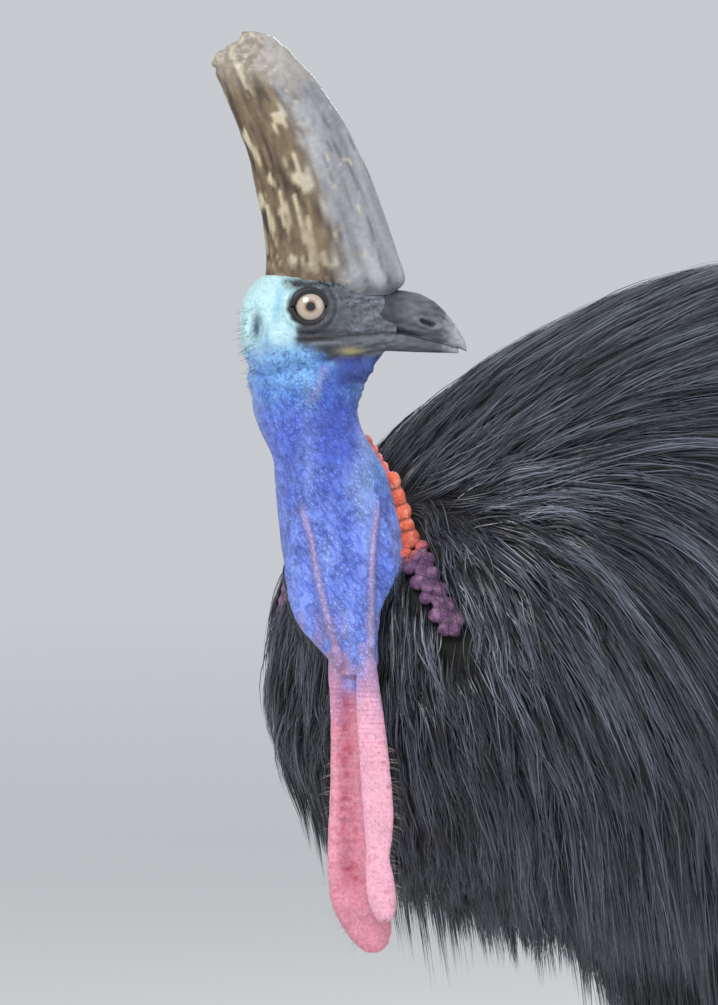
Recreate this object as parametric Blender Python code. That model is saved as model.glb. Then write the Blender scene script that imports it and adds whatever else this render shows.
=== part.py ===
"""A life-size southern cassowary that stands at rest and looks back over its left shoulder.

Metres, +Z up. The bird's body faces -Y and its left side is +X. The origin is on the floor,
under the middle of the bird's box. Run it with blender --background --python part.py.
"""

import math
import random

import bmesh
import bpy
from mathutils import Vector
from mathutils.bvhtree import BVHTree

# The whole bird moves back this far at the end, so that the middle of its box is over the origin.
SET_BACK = 0.040

# The gap that parts which touch keep between them.
GAP = 0.0003
MARGIN = 0.0004

# The head is measured from a point midway between the eyes, F forward along the bill,
# R out to the bird's right, U up, in millimetres.
MM = 0.001
HEAD_AT = Vector((0.013, -0.458, 1.030))
HEAD_TURN = math.radians(50)
FORWARD = Vector((math.cos(HEAD_TURN), math.sin(HEAD_TURN), 0))
RIGHT = Vector((math.sin(HEAD_TURN), -math.cos(HEAD_TURN), 0))
UP = Vector((0, 0, 1))

# Where the head and the two lengths of the neck part, in millimetres below the eyes.
THROAT_CUT = -86
NECK_CUT = -152

# Body stations: distance along Y, top, bottom and half width of the flesh and underfur, metres.
BODY = [
    (-0.416, 0.795, 0.700, 0.030),
    (-0.404, 0.832, 0.648, 0.082),
    (-0.362, 0.877, 0.590, 0.134),
    (-0.300, 0.920, 0.556, 0.166),
    (-0.210, 0.967, 0.531, 0.192),
    (-0.100, 1.009, 0.518, 0.207),
    (0.020, 1.038, 0.513, 0.210),
    (0.130, 1.030, 0.518, 0.202),
    (0.230, 0.986, 0.536, 0.180),
    (0.310, 0.924, 0.566, 0.145),
    (0.370, 0.862, 0.608, 0.104),
    (0.405, 0.800, 0.664, 0.060),
    (0.415, 0.765, 0.700, 0.030),
]
TAIL_CUT = 0.240

# Legs, for the left side. The right leg is the mirror image and stands a little further back.
FOOT_AT = Vector((0.108, -0.010, 0.0))
STRIDE = 0.045
HOCK = Vector((0.100, 0.085, 0.365))
KNEE = Vector((0.092, -0.050, 0.610))

# How the coat lies on the flanks: height above the floor, and degrees below level.
LIE = [(0.45, 80), (0.52, 76), (0.634, 62), (0.794, 43), (0.914, 22), (1.02, 6), (1.10, 4)]


def finish(name, colour, roughness, metallic=0.0):
    """A plain material of one colour."""
    material = bpy.data.materials.get(name) or bpy.data.materials.new(name)
    material.use_nodes = True
    shader = material.node_tree.nodes["Principled BSDF"]
    shader.inputs["Base Color"].default_value = (*colour, 1.0)
    shader.inputs["Roughness"].default_value = roughness
    shader.inputs["Metallic"].default_value = metallic
    return material


def place(forward, right, up):
    """A point of the head's own frame, in millimetres, as a place in the room."""
    return HEAD_AT + (FORWARD * forward + RIGHT * right + UP * up) * MM


def between(rows, at):
    """Catmull-Rom through rows of numbers; at runs from 0 to len(rows) - 1."""
    last = len(rows) - 1
    i = min(int(at), last - 1)
    t = at - i
    a, b, c, d = (rows[min(max(k, 0), last)] for k in (i - 1, i, i + 1, i + 2))
    return [
        0.5 * (2 * q + (r - p) * t + (2 * p - 5 * q + 4 * r - s) * t * t + (3 * q - p - 3 * r + s) * t**3)
        for p, q, r, s in zip(a, b, c, d)
    ]


def sampled(rows, count):
    """count rows spread evenly over a smooth curve through the given rows."""
    return [between(rows, (len(rows) - 1) * k / (count - 1)) for k in range(count)]


def lookup(rows, x):
    """Straight-line value of a two-column table at x."""
    for (x0, y0), (x1, y1) in zip(rows, rows[1:]):
        if x <= x1:
            return y0 + (y1 - y0) * max(0.0, x - x0) / (x1 - x0)
    return rows[-1][1]


def ring(centre, side, up, half_width, rise, drop, sides, fullness=2.0):
    """An egg-shaped ring, rise above its centre and drop below it."""
    points = []
    for k in range(sides):
        angle = 2 * math.pi * (k + 0.5) / sides
        c, s = math.cos(angle), math.sin(angle)
        across = half_width * math.copysign(abs(c) ** (2 / fullness), c)
        along = (rise if s > 0 else drop) * math.copysign(abs(s) ** (2 / fullness), s)
        points.append(centre + side * across + up * along)
    return points


def solid(name, rings, material, tip=None, root=None):
    """A closed object through rings of points, ended by flat caps or by points."""
    mesh = bmesh.new()
    loops = [[mesh.verts.new(p) for p in points] for points in rings]
    count = len(loops[0])
    for low, high in zip(loops, loops[1:]):
        for k in range(count):
            mesh.faces.new((low[k], low[(k + 1) % count], high[(k + 1) % count], high[k]))
    for loop, point in ((loops[0], root), (loops[-1], tip)):
        if point is None:
            mesh.faces.new(loop)
            continue
        middle = mesh.verts.new(point)
        for k in range(count):
            mesh.faces.new((loop[k], loop[(k + 1) % count], middle))
    bmesh.ops.recalc_face_normals(mesh, faces=mesh.faces)
    bmesh.ops.triangulate(mesh, faces=mesh.faces)
    return as_object(name, mesh, material)


def as_object(name, mesh, material):
    """Turns a bmesh into an object of the scene that carries the material."""
    data = bpy.data.meshes.new(name)
    mesh.to_mesh(data)
    mesh.free()
    data.materials.append(material)
    made = bpy.data.objects.new(name, data)
    bpy.context.scene.collection.objects.link(made)
    return made


def tube(name, path, radii, sides, material, flat=1.0, facing=UP, tip=None):
    """A round or flattened tube along a path; facing is the side that flat thins."""
    rings = []
    for k, point in enumerate(path):
        ahead = path[min(k + 1, len(path) - 1)] - path[max(k - 1, 0)]
        ahead.normalize()
        side = ahead.cross(facing).normalized()
        up = side.cross(ahead).normalized()
        rings.append(ring(point, side, up, radii[k], radii[k] * flat, radii[k] * flat, sides))
    return solid(name, rings, material, tip)


def blob(name, centre, radii, axes, sides, rows, material):
    """A closed egg: three radii along three axes."""
    long_axis, wide_axis, thin_axis = axes
    rings = []
    for k in range(1, rows):
        angle = math.pi * k / rows
        at = centre - long_axis * (radii[0] * math.cos(angle))
        size = math.sin(angle)
        rings.append(ring(at, wide_axis, thin_axis, radii[1] * size, radii[2] * size, radii[2] * size, sides))
    reach = long_axis * radii[0]
    return solid(name, rings, material, centre + reach, centre - reach)


def apply_modifiers(made):
    """Writes the evaluated mesh back to the object and drops its modifiers."""
    graph = bpy.context.evaluated_depsgraph_get()
    data = bpy.data.meshes.new_from_object(made.evaluated_get(graph))
    made.modifiers.clear()
    made.data = data


def keep_largest(made):
    """Keeps only the largest closed surface of a mesh."""
    mesh = bmesh.new()
    mesh.from_mesh(made.data)
    left = set(mesh.faces)
    surfaces = []
    while left:
        stack = [left.pop()]
        found = set(stack)
        while stack:
            near = {face for edge in stack.pop().edges for face in edge.link_faces}
            stack += near - found
            found |= near
        left -= found
        surfaces.append(found)
    largest = max(surfaces, key=volume)
    loose = [face for faces in surfaces if faces is not largest for face in faces]
    bmesh.ops.delete(mesh, geom=loose, context="FACES")
    mesh.to_mesh(made.data)
    mesh.free()


def volume(faces):
    """Six times the room inside a closed set of faces."""
    total = 0.0
    for face in faces:
        corners = [vertex.co for vertex in face.verts]
        for b, c in zip(corners[1:], corners[2:]):
            total += corners[0].dot(b.cross(c))
    return abs(total)


def plain_faces(made):
    """Merges the slivers of flat faces that joins and cuts leave, and keeps triangles."""
    mesh = bmesh.new()
    mesh.from_mesh(made.data)
    bmesh.ops.dissolve_limit(mesh, angle_limit=math.radians(0.4), verts=mesh.verts, edges=mesh.edges)
    bmesh.ops.triangulate(mesh, faces=mesh.faces)
    if all(len(edge.link_faces) == 2 for edge in mesh.edges):
        mesh.to_mesh(made.data)
    mesh.free()


def fused(made, pieces, solver="EXACT"):
    """Joins pieces into made with one Boolean union, and removes them."""
    group = bpy.data.collections.new("pieces")
    for piece in pieces:
        group.objects.link(piece)
    union = made.modifiers.new("join", "BOOLEAN")
    union.operation = "UNION"
    union.operand_type = "COLLECTION"
    union.collection = group
    union.solver = solver
    apply_modifiers(made)
    for piece in pieces:
        bpy.data.objects.remove(piece)
    bpy.data.collections.remove(group)
    keep_largest(made)
    return made


def swollen(made, gap=GAP):
    """A copy whose every face has moved out by the gap."""
    mesh = bmesh.new()
    mesh.from_mesh(made.data)
    bmesh.ops.triangulate(mesh, faces=mesh.faces)
    mesh.normal_update()
    moves = [(v, v.normal * gap * min(v.calc_shell_factor(), 2.0)) for v in mesh.verts]
    for vertex, move in moves:
        vertex.co += move
    return as_object("swollen", mesh, made.data.materials[0])


def cut_clear(made, *others, gap=GAP, solver="MANIFOLD"):
    """Cuts made back so that it stays a gap clear of the other parts."""
    for other in others:
        cutter = swollen(other, gap)
        cut_with(made, cutter, solver)
    return made


def cut_with(made, cutter, solver="MANIFOLD"):
    """Cuts a helper shape out of made and removes the helper."""
    take = made.modifiers.new("cut", "BOOLEAN")
    take.operation = "DIFFERENCE"
    take.object = cutter
    take.solver = solver
    apply_modifiers(made)
    bpy.data.objects.remove(cutter)
    keep_largest(made)
    return made


def surface_of(*parts):
    """A search tree over the faces of some parts."""
    points, faces = [], []
    for part in parts:
        first = len(points)
        points += [v.co.copy() for v in part.data.vertices]
        faces += [[first + v for v in face.vertices] for face in part.data.polygons]
    return BVHTree.FromPolygons(points, faces)


# Flesh and horn of the head


def skull(material):
    """Skull and cheeks: distance along the head, top, bottom, half width."""
    stations = [
        (-55, -4, -30, 9),
        (-51, 8, -44, 20),
        (-42, 20, -58, 28),
        (-28, 26, -64, 33.5),
        (-10, 27, -62, 35),
        (8, 26, -54, 33.5),
        (26, 22, -45, 28),
        (44, 16, -40, 22),
        (60, 10, -37, 17),
        (70, 5, -35, 13),
    ]
    rings = []
    for f, top, bottom, half in sampled(stations, 10):
        middle = (top + bottom) / 2
        rise = (top - bottom) / 2 * MM
        rings.append(ring(place(f, 0, middle), RIGHT, UP, half * MM, rise, rise, 14, 2.3))
    return solid("head", rings, material)


# Neck rings, level cuts through the neck: forward, right, up, half length and half thickness.
NECK = [
    (-2, 0, -40, 42, 20),
    (-1, 0, -50, 48, 25),
    (-3.5, 0, -60, 45, 29),
    (-4, 0, -71, 42, 32),
    (-3, 0, -84, 41, 33.5),
    (1.5, -1, -100, 40.5, 35),
    (13, -3, -123, 42, 37),
    (18, -6, -140, 45.5, 39),
    (21, -10, -157, 47, 41),
    (25, -15, -178, 49, 44),
    (28, -20, -198, 50, 47),
    (32, -27, -216, 50, 50),
    (38, -42, -240, 49, 52),
    (44, -62, -268, 46, 50),
]


def neck_length(name, high, low, count, material):
    """The neck from one level to another, both in millimetres from the eyes."""
    levels = [row[2] for row in NECK]

    def station(level):
        for k in range(len(levels) - 1):
            if levels[k] >= level >= levels[k + 1]:
                return k + (levels[k] - level) / (levels[k] - levels[k + 1])
        return float(len(levels) - 1)

    first, last = station(high), station(low)
    rings = []
    for k in range(count):
        f, r, _, long, thick = between(NECK, first + (last - first) * k / (count - 1))
        level = high + (low - high) * k / (count - 1)
        rings.append(ring(place(f, r, level), FORWARD, RIGHT, long * MM, thick * MM, thick * MM, 14))
    return solid(name, rings, material)


def eye(side):
    """The eyeball, turned a little forward."""
    axis = (RIGHT * side + FORWARD * 0.18 + UP * 0.02).normalized()
    white = finish("eye", (0.62, 0.50, 0.38), 0.1)
    centre = place(0, side * 20.5, 0)
    size = 16.5 * MM
    name = "eye_right" if side > 0 else "eye_left"
    return blob(name, centre, (size, size, size), (axis, FORWARD, UP), 12, 7, white)


def lids(side, material):
    """An upper and a lower lid, raised round the eye."""
    centre = place(0.5, side * 32.5, 0)
    out = (RIGHT * side + FORWARD * 0.18).normalized()
    along = UP.cross(out).normalized()
    path = []
    for k in range(11):
        angle = 2 * math.pi * k / 10
        path.append(centre + along * (15.5 * MM * math.cos(angle)) + UP * (14.5 * MM * math.sin(angle)))
    rims = []
    for first, last in ((0, 5), (5, 10)):
        part = path[first : last + 1]
        radii = [(1.8 + 1.5 * math.sin(math.pi * k / 5)) * MM for k in range(6)]
        part[0] = part[0] - (part[1] - part[0]) * 0.35
        part[-1] = part[-1] + (part[-1] - part[-2]) * 0.35
        rims.append(tube("lid", part, radii, 4, material, facing=out))
    return rims


def throat_folds(side, material):
    """Folds of loose skin from the corner of the jaw down to the neck."""
    lines = [
        [(40, 17, -36), (31, 25, -52), (22, 29, -68), (14, 32, -88)],
        [(-14, 31, -30), (-12, 33, -42), (-2, 33, -52), (10, 30, -55)],
    ]
    folds = []
    for line in lines:
        path = [place(f, side * r, h) for f, r, h in line]
        folds.append(tube("fold", path, [3 * MM, 4 * MM, 4 * MM, 2 * MM], 5, material, facing=RIGHT * side))
    return folds


def ear(side, material):
    """A cupped ear opening with a raised rim in front of it."""
    return blob(
        "ear",
        place(-42, side * 31, -16),
        (9 * MM, 4.5 * MM, 9 * MM),
        (UP, FORWARD, RIGHT),
        7,
        5,
        material,
    )


def casque():
    """The tall horn on the crown, a blade that leans back and ends in a broken edge."""
    horn = finish("casque_horn", (0.30, 0.28, 0.26), 0.45)
    # up, back edge, front edge, half thickness, all in millimetres
    stations = [
        (8, -31, 67, 18),
        (20, -35, 77, 21),
        (40, -34.5, 71.5, 19.5),
        (66, -37, 63, 18),
        (98, -43.5, 51.5, 16.5),
        (122, -49, 41, 15.5),
        (146, -58, 29, 14.5),
        (165, -66, 16.5, 13),
        (184, -74, 3, 11),
        (197, -76, -10, 9),
        (209, -60, -22, 7.5),
        (217, -54, -34, 5),
    ]
    rings = []
    for h, back, front, half in sampled(stations, 13):
        middle = (back + front) / 2
        long = (front - back) / 2 * MM
        lean = 0.00012 * max(0.0, h - 20) ** 2
        rings.append(ring(place(middle, -lean, h), RIGHT, FORWARD, half * MM, long, long, 14, 2.2))
    return solid("casque", rings, horn, place(-44, -4.5, 220))


def mouth_line(f):
    """Height of the line of the mouth along the bill, in millimetres."""
    line = [(-20, -25), (-5, -26), (8, -26), (20, -24.5), (38, -22.6), (61, -21.1), (75, -22.6), (90, -26.2), (105, -30), (120, -34.4), (128, -38)]
    return lookup(line, f)


def upper_bill(material):
    """The upper bill, with a keel along its top and a hooked tip."""
    stations = [
        (46, 13.7, 18.6),
        (64, 12.5, 17),
        (78, 11.5, 14.5),
        (90, 9, 12),
        (101, 2.5, 9.5),
        (111, -7.5, 7.2),
        (119, -18.5, 5.2),
        (124.5, -28, 3.2),
    ]
    rings = []
    for f, top, half in sampled(stations, 9):
        bottom = mouth_line(f)
        rings.append(beak_ring(f, top, bottom, half, 0.42, 12))
    return solid("bill_upper", rings, material, place(126.5, 0, -38.5))


def beak_ring(f, top, bottom, half, widest, sides):
    """A ring across the bill, narrower above than at the line of the mouth."""
    points = []
    middle = bottom + (top - bottom) * widest
    for k in range(sides):
        angle = 2 * math.pi * (k + 0.5) / sides
        c, s = math.cos(angle), math.sin(angle)
        reach = (top - middle) if s > 0 else (middle - bottom)
        keel = 1 - 0.25 * max(0.0, s)
        points.append(place(f, half * c * keel, middle + reach * s))
    return points


def lower_bill(material):
    """The lower bill: distance along it, its bottom, and its half width."""
    stations = [
        (34, -39, 17),
        (48, -38, 15),
        (60, -37, 13),
        (80, -37.5, 10),
        (96, -38, 7.5),
        (109, -38.5, 5),
        (117, -38.8, 3),
    ]
    rings = [
        beak_ring(f, mouth_line(f) - 0.7, bottom, half, 0.6, 10)
        for f, bottom, half in sampled(stations, 7)
    ]
    return solid("bill_lower", rings, material, place(120, 0, -38))


def nostril(side, material):
    """An oval hole in the side of the upper bill."""
    axes = (FORWARD * 0.95 - UP * 0.3, RIGHT, UP)
    return blob("nostril", place(95, side * 10, -13.5), (7.5 * MM, 5 * MM, 3.4 * MM), axes, 8, 5, material)


# Bare skin of the neck


def neck_skin_at(surface, f, h):
    """A place on the front of the neck, found by looking at it along the head's right side."""
    start = place(f, 200, h)
    hit = surface.ray_cast(start, -RIGHT)[0]
    return hit


def flap(material):
    """The fold of loose skin in front of the neck that runs out into the wattles."""
    stations = [
        (24, 12, -168, 38, 14),
        (25, 16, -190, 42, 14),
        (25, 20, -212, 44.5, 13),
        (24, 23, -226, 41.5, 12),
        (22, 26, -242, 36, 11),
        (25, 29, -257, 31, 10),
        (30, 31, -270, 25, 9.5),
        (36, 33, -283, 19.5, 9),
        (37, 34, -294, 16, 6),
    ]
    rings = [
        ring(place(f, r, h), FORWARD, RIGHT, long * MM, thick * MM, thick * MM, 10)
        for f, r, h, long, thick in sampled(stations, 8)
    ]
    return solid("flap", rings, material)


def ridges(surface, material):
    """Two ropes of ringed skin that run down the neck into the wattles."""
    lines = [
        [(-7, -154), (-4, -167), (2, -185), (4.5, -203), (8, -219), (12, -237), (17, -256), (21, -271), (26, -288)],
        [(54, -151), (54, -167), (51.5, -185), (50.5, -204), (50, -226), (49.5, -248), (49, -271), (47, -288)],
    ]
    ropes = []
    for line in lines:
        rows = sampled(line, 8)
        path = [neck_skin_at(surface, f, max(h, -286)) for f, h in rows]
        radii = [(2.4 + 2.4 * k / 7) * MM for k in range(8)]
        path[0] -= RIGHT * 3 * MM
        ropes.append(tube("ridge", path, radii, 4, material, facing=RIGHT))
    return ropes


def wattle(name, stations, material):
    """A flat hanging lobe of skin."""
    rings = [
        ring(place(f, r, h), FORWARD, RIGHT, long * MM, thick * MM, thick * MM, 10, 2.4)
        for f, r, h, long, thick in sampled(stations, 13)
    ]
    return solid(name, rings, material)


RIGHT_WATTLE = [
    (26, 32, -274, 10, 4),
    (28, 31, -292, 12.5, 6),
    (30, 29, -318, 13, 6.5),
    (31, 28, -350, 13.5, 6.5),
    (32, 27, -384, 15, 6.5),
    (33, 26, -420, 17.5, 7),
    (34, 26, -448, 19, 7.5),
    (39, 26, -476, 21.5, 8),
    (46, 26, -497, 19.5, 8),
    (50, 26, -511, 13, 6.5),
    (51, 26, -518, 5, 3),
]
LEFT_WATTLE = [
    (46, 40, -268, 5, 3),
    (46, 43, -282, 7.6, 5),
    (47.5, 45, -310, 9.8, 6),
    (50, 45.5, -337, 11.2, 6),
    (52.6, 45.5, -365, 11.8, 6),
    (54.6, 45, -392, 12.2, 6),
    (55.6, 45, -412, 11.6, 6.5),
    (55.6, 45.5, -430, 10, 7),
    (55, 46.5, -441, 9.5, 7.5),
    (56.6, 46.5, -455, 11, 8),
    (58.2, 46, -471, 11.4, 8),
    (60, 46, -484, 8.6, 6.5),
    (60, 46, -491, 3.5, 3),
]


# The caruncled bands

BAND = [
    (60, -10, -138),
    (66, -11, -154),
    (72, -12, -168),
    (77, -13, -182),
    (84, -12, -197),
    (91, -6, -210),
    (97, 2, -224),
    (105, 10, -239),
    (114, 18, -252),
    (121, 23, -262),
]


def band_path(surface, count):
    """The left band's line over the side of the neck and the shoulder."""
    return evened([surface.find_nearest(place(f, r, h))[:2] for f, r, h in sampled(BAND, count)])


def evened(path):
    """Evens out the way that a path's normals turn from one point to the next."""
    last = len(path) - 1
    for _ in range(2):
        normals = [n for _, n in path]
        path = [
            (p, (normals[max(k - 1, 0)] + n * 2 + normals[min(k + 1, last)]).normalized())
            for k, (p, n) in enumerate(path)
        ]
    return path


def mirrored(path):
    """The same line on the bird's right side."""
    return [(Vector((-p.x, p.y, p.z)), Vector((-n.x, n.y, n.z))) for p, n in path]


def caruncles(name, path, seed, material, margin=0.0):
    """A strip of skin along a path with rounded beads set close on it, all grown by a margin."""
    draw = random.Random(seed)
    last = len(path) - 1
    centres = [p + n * 2 * MM for p, n in path]
    widths = [(5 + 8.5 * min(1.0, 2.2 * k / last)) * MM for k in range(last + 1)]
    widths[-1] = 8 * MM
    rings = []
    for k, (point, normal) in enumerate(path):
        ahead = (centres[min(k + 1, last)] - centres[max(k - 1, 0)]).normalized()
        side = ahead.cross(normal).normalized()
        thick = 4.5 * MM + margin
        ends = {0: -ahead * margin, last: ahead * margin}
        middle = centres[k] + ends.get(k, Vector())
        rings.append(ring(middle, side, normal, widths[k] + margin, thick, thick, 6))
    strip = solid(name, rings, material)
    beads = []
    for k in range(1, last):
        point, normal = path[k]
        ahead = (centres[k + 1] - centres[k - 1]).normalized()
        side = ahead.cross(normal).normalized()
        share = k / last
        across = 1 if share < 0.42 else 2
        for j in range(across):
            shift = (j - (across - 1) / 2) * 11 * MM + draw.uniform(-1, 1) * MM
            size = draw.uniform(6.4, 8.4) * MM + margin
            along = ahead * (0 if j == 0 else 4.5 * MM)
            at = centres[k] + normal * 3.5 * MM + side * shift + along
            axes = (ahead, side, normal)
            beads.append(blob("bead", at, (size, size * 0.92, size * 0.85), axes, 5, 4, material))
    return fused(strip, beads)


def nape(surface, material, margin=0.0):
    """Folded orange skin across the back of the lower neck, grown by a margin."""
    draw = random.Random(5)
    back = Vector((-0.15, 1.0, 0.0)).normalized()
    across = UP.cross(back).normalized()
    middle = place(12, -5, 0)
    beads = []
    for row in range(3):
        for column in range(3):
            lean = (column - 1 + 0.25 * (-1) ** row) * 0.42
            out = (back * math.cos(lean) + across * math.sin(lean)).normalized()
            start = Vector((middle.x, middle.y, 0.893 + row * 0.0115)) + out * 0.2
            hit, normal, _, _ = surface.ray_cast(start, -out)
            side = UP.cross(normal).normalized()
            size = draw.uniform(10.5, 12.0) * MM
            at = hit + side * draw.uniform(-1, 1) * MM + normal * 3.2 * MM
            radii = (size + margin, size * 0.8 + margin, size * 0.7 + margin)
            beads.append(blob("bead", at, radii, (side, UP, normal), 5, 4, material))
    first = beads.pop(0)
    first.name = "nape_caruncles"
    return fused(first, beads)


# The coat


def body_ring(y, sides=20):
    """A section across the body at a distance along it."""
    for k in range(len(BODY) - 1):
        if BODY[k][0] <= y <= BODY[k + 1][0]:
            share = (y - BODY[k][0]) / (BODY[k + 1][0] - BODY[k][0])
            _, top, bottom, half = between(BODY, k + share)
            break
    middle = bottom + 0.47 * (top - bottom)
    return ring(Vector((0, y, middle)), Vector((1, 0, 0)), UP, half, top - middle, middle - bottom, sides, 2.15)


def body_length(name, first, last, count, material):
    """The body from one distance along it to another."""
    rings = [body_ring(first + (last - first) * k / (count - 1)) for k in range(count)]
    return solid(name, rings, material)


def lie_at(point):
    """The way that the coat lies at a place on the body, before it is laid flat."""
    slope = math.radians(lookup(LIE, point.z))
    back = Vector((0, math.cos(slope), -math.sin(slope)))
    chest = min(1.0, max(0.0, (-0.33 - point.y) / 0.07))
    down = Vector((1.1 * point.x, 0.25, -1.0)).normalized()
    rump = min(1.0, max(0.0, (point.y - 0.22) / 0.15))
    droop = Vector((0.9 * point.x, 0.55, -1.0)).normalized()
    return back.lerp(down, chest).lerp(droop, rump * 0.8).normalized()


def lock_path(surface, root, length, lift, steps):
    """Where a lock runs: flat on the body at first, then free and hanging at its tip."""
    hit, normal, _, _ = surface.find_nearest(root)
    path = [(hit - normal * 9 * MM, normal)]
    point = hit
    step = length / steps
    for k in range(1, steps + 1):
        way = lie_at(point)
        flat = (way - normal * way.dot(normal)).normalized()
        free = min(1.0, max(0.0, -0.15 - normal.z) / 0.35)
        ahead = flat.lerp(Vector((0, 0.18, -1)).normalized(), free).normalized()
        point = point + ahead * step
        near, near_normal, _, _ = surface.find_nearest(point)
        height = lift * (k / steps) ** 0.8
        held = near + near_normal * height
        point = held.lerp(point, free)
        if (point - near).dot(near_normal) < height:
            point = held
        normal = normal.lerp(near_normal, 0.7).normalized()
        path.append((point.copy(), normal.copy()))
    return path


def lock(path, width, thick, material):
    """A flat, tapered lock of coat with a low ridge along its back."""
    shape = [0.6, 1.0, 0.95, 0.62]
    rings = []
    last = len(path) - 1
    for k in range(last):
        point, normal = path[k]
        ahead = (path[k + 1][0] - path[max(k - 1, 0)][0]).normalized()
        side = ahead.cross(normal).normalized()
        out = side.cross(ahead).normalized()
        half = width / 2 * shape[k]
        rings.append([point + side * half, point + out * thick * (1 - 0.4 * k / last), point - side * half])
    return solid("lock", rings, material, path[-1][0])


def crosses_itself(made):
    """Whether two faces of a mesh that share no corner cross."""
    faces = made.data.polygons
    tree = surface_of(made)
    pairs = tree.overlap(tree)
    return any(not set(faces[a].vertices) & set(faces[b].vertices) for a, b in pairs if a < b)


def sound_lock(path, width, thick, material):
    """A lock, made narrower where a sharp bend would fold it through itself, or none."""
    for share in (1.0, 0.8, 0.6, 0.4):
        made = lock(path, width * share, thick, material)
        if not crosses_itself(made):
            return [made]
        bpy.data.objects.remove(made)
    return []


def coat(surface, roots, draw, material, steps=4):
    """Locks set on the surface; each root gives a place, length, width and lift."""
    locks = []
    for spot, length, width, lift in roots:
        path = lock_path(surface, spot, length * draw.uniform(0.9, 1.1), lift, steps)
        locks += sound_lock(path, width * draw.uniform(0.9, 1.1), 5.5 * MM, material)
    return locks


# Tiers of locks on the torso: where along the body, the first and last share of the half turn
# from back to belly, how many on a side, their length and width.
TORSO_TIERS = [
    (-0.325, 0.06, 0.92, 5, 0.165, 0.080),
    (-0.245, 0.06, 0.88, 5, 0.205, 0.104),
    (-0.160, 0.09, 0.90, 6, 0.220, 0.096),
    (-0.075, 0.04, 0.80, 5, 0.220, 0.104),
    (0.010, 0.09, 0.78, 5, 0.210, 0.100),
    (0.080, 0.06, 0.76, 4, 0.168, 0.112),
    (0.150, 0.56, 0.93, 4, 0.115, 0.080),
]


def turned(y, share, side):
    """The place on the body at a share of the half turn from back to belly."""
    points = body_ring(y, 80)
    middle = Vector((0, y, sum(p.z for p in points) / len(points)))
    angle = math.pi * share
    want = Vector((side * math.sin(angle), 0, math.cos(angle)))
    return max(points, key=lambda p: (p - middle).normalized().dot(want))


def torso_roots(draw):
    """Tiers of roots over the torso, from the neck back and down each side."""
    roots = []
    for y, first, last, count, length, width in TORSO_TIERS:
        for side in (1, -1):
            for k in range(count):
                share = first + (last - first) * k / (count - 1)
                spot = turned(y, share, side) + Vector((0, draw.uniform(-10, 10) * MM, 0))
                lift = (19 + 12 * math.sin(math.pi * share) + 7 * (k % 2)) * MM
                low = 0.52 + 3.0 * (y + 0.325) if y < -0.2 and share > 0.6 else 1.0
                roots.append((spot, length * low, width, lift))
    return roots


# A collar of locks that spread from the foot of the neck, outside the caruncled bands:
# out, along and up from the floor, with length and width.
COLLAR = [
    (0.020, -0.345, 0.900, 0.15, 0.060),
    (0.075, -0.350, 0.870, 0.15, 0.064),
    (0.120, -0.365, 0.810, 0.15, 0.064),
    (0.130, -0.375, 0.745, 0.14, 0.064),
    (0.075, -0.402, 0.715, 0.13, 0.062),
    (0.020, -0.410, 0.700, 0.12, 0.060),
]


def collar_roots():
    """Roots of the collar on both sides."""
    roots = []
    for x, y, z, length, width in COLLAR:
        for side in (1, -1):
            roots.append((Vector((side * x, y, z)), length, width, 20 * MM))
    return roots


def clear_of_legs(roots):
    """Leaves out roots under the belly, where the legs come through."""
    kept = []
    for root in roots:
        spot = root[0]
        under = spot.z < 0.60 and abs(spot.x) < 0.165 and -0.19 < spot.y < 0.13
        if not under:
            kept.append(root)
    return kept


# Tiers of locks on the rump, as for the torso, with the height of their tips in millimetres.
TAIL_TIERS = [
    (0.283, 0.06, 0.90, 6, 0.17, 0.084, 32),
    (0.343, 0.14, 0.84, 3, 0.18, 0.092, 25),
    (0.388, 0.38, 0.72, 2, 0.19, 0.074, 20),
]


def tail_roots():
    """Tiers of roots round the rump."""
    roots = []
    for y, first, last, count, length, width, lift in TAIL_TIERS:
        for side in (1, -1):
            for k in range(count):
                share = first + (last - first) * k / (count - 1)
                set_back = 0.010 * max(0.0, 1 - share / 0.25)
                spot = turned(y + set_back, share, side)
                roots.append((spot, length, width, (lift + 6 * (k % 2)) * MM))
    return roots


# Wings


def wing(side, material, quill_material):
    """The small wing, a short limb with five bare quills that curve back over the flank."""
    shoulder = Vector((side * 0.190, -0.168, 0.800))
    hand = Vector((side * 0.238, -0.098, 0.763))
    path = [shoulder, shoulder.lerp(hand, 0.5) + Vector((side * 0.008, 0, 0.004)), hand]
    name = "wing_left" if side > 0 else "wing_right"
    limb = tube(name, path, [17 * MM, 16 * MM, 11 * MM], 8, material, flat=0.7, facing=Vector((side, 0, 0)))
    quills = []
    for k in range(5):
        root = shoulder.lerp(hand, 0.45 + 0.13 * k)
        slope = math.radians(26 + 9 * k)
        length = 0.235 - 0.022 * k
        way = Vector((side * 0.08, math.cos(slope), -math.sin(slope))).normalized()
        line = []
        for j in range(4):
            share = j / 3
            sag = Vector((side * -0.008, 0, -0.045)) * share * share
            line.append(root + way * (length * share) + sag)
        radii = [(3.2 - 2.0 * j / 3) * MM for j in range(4)]
        quills.append(tube("quill", line, radii, 4, quill_material, facing=Vector((side, 0, 0))))
    return fused(limb, quills)


# Legs


def foot_at(side):
    """Where the foot stands."""
    if side > 0:
        return FOOT_AT.copy()
    return Vector((-FOOT_AT.x, FOOT_AT.y + STRIDE, 0))


def leg_point(side, point):
    """A point of the left leg, moved to the side asked for."""
    if side > 0:
        return point.copy()
    return Vector((-point.x, point.y + STRIDE * 0.55, point.z))


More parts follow.
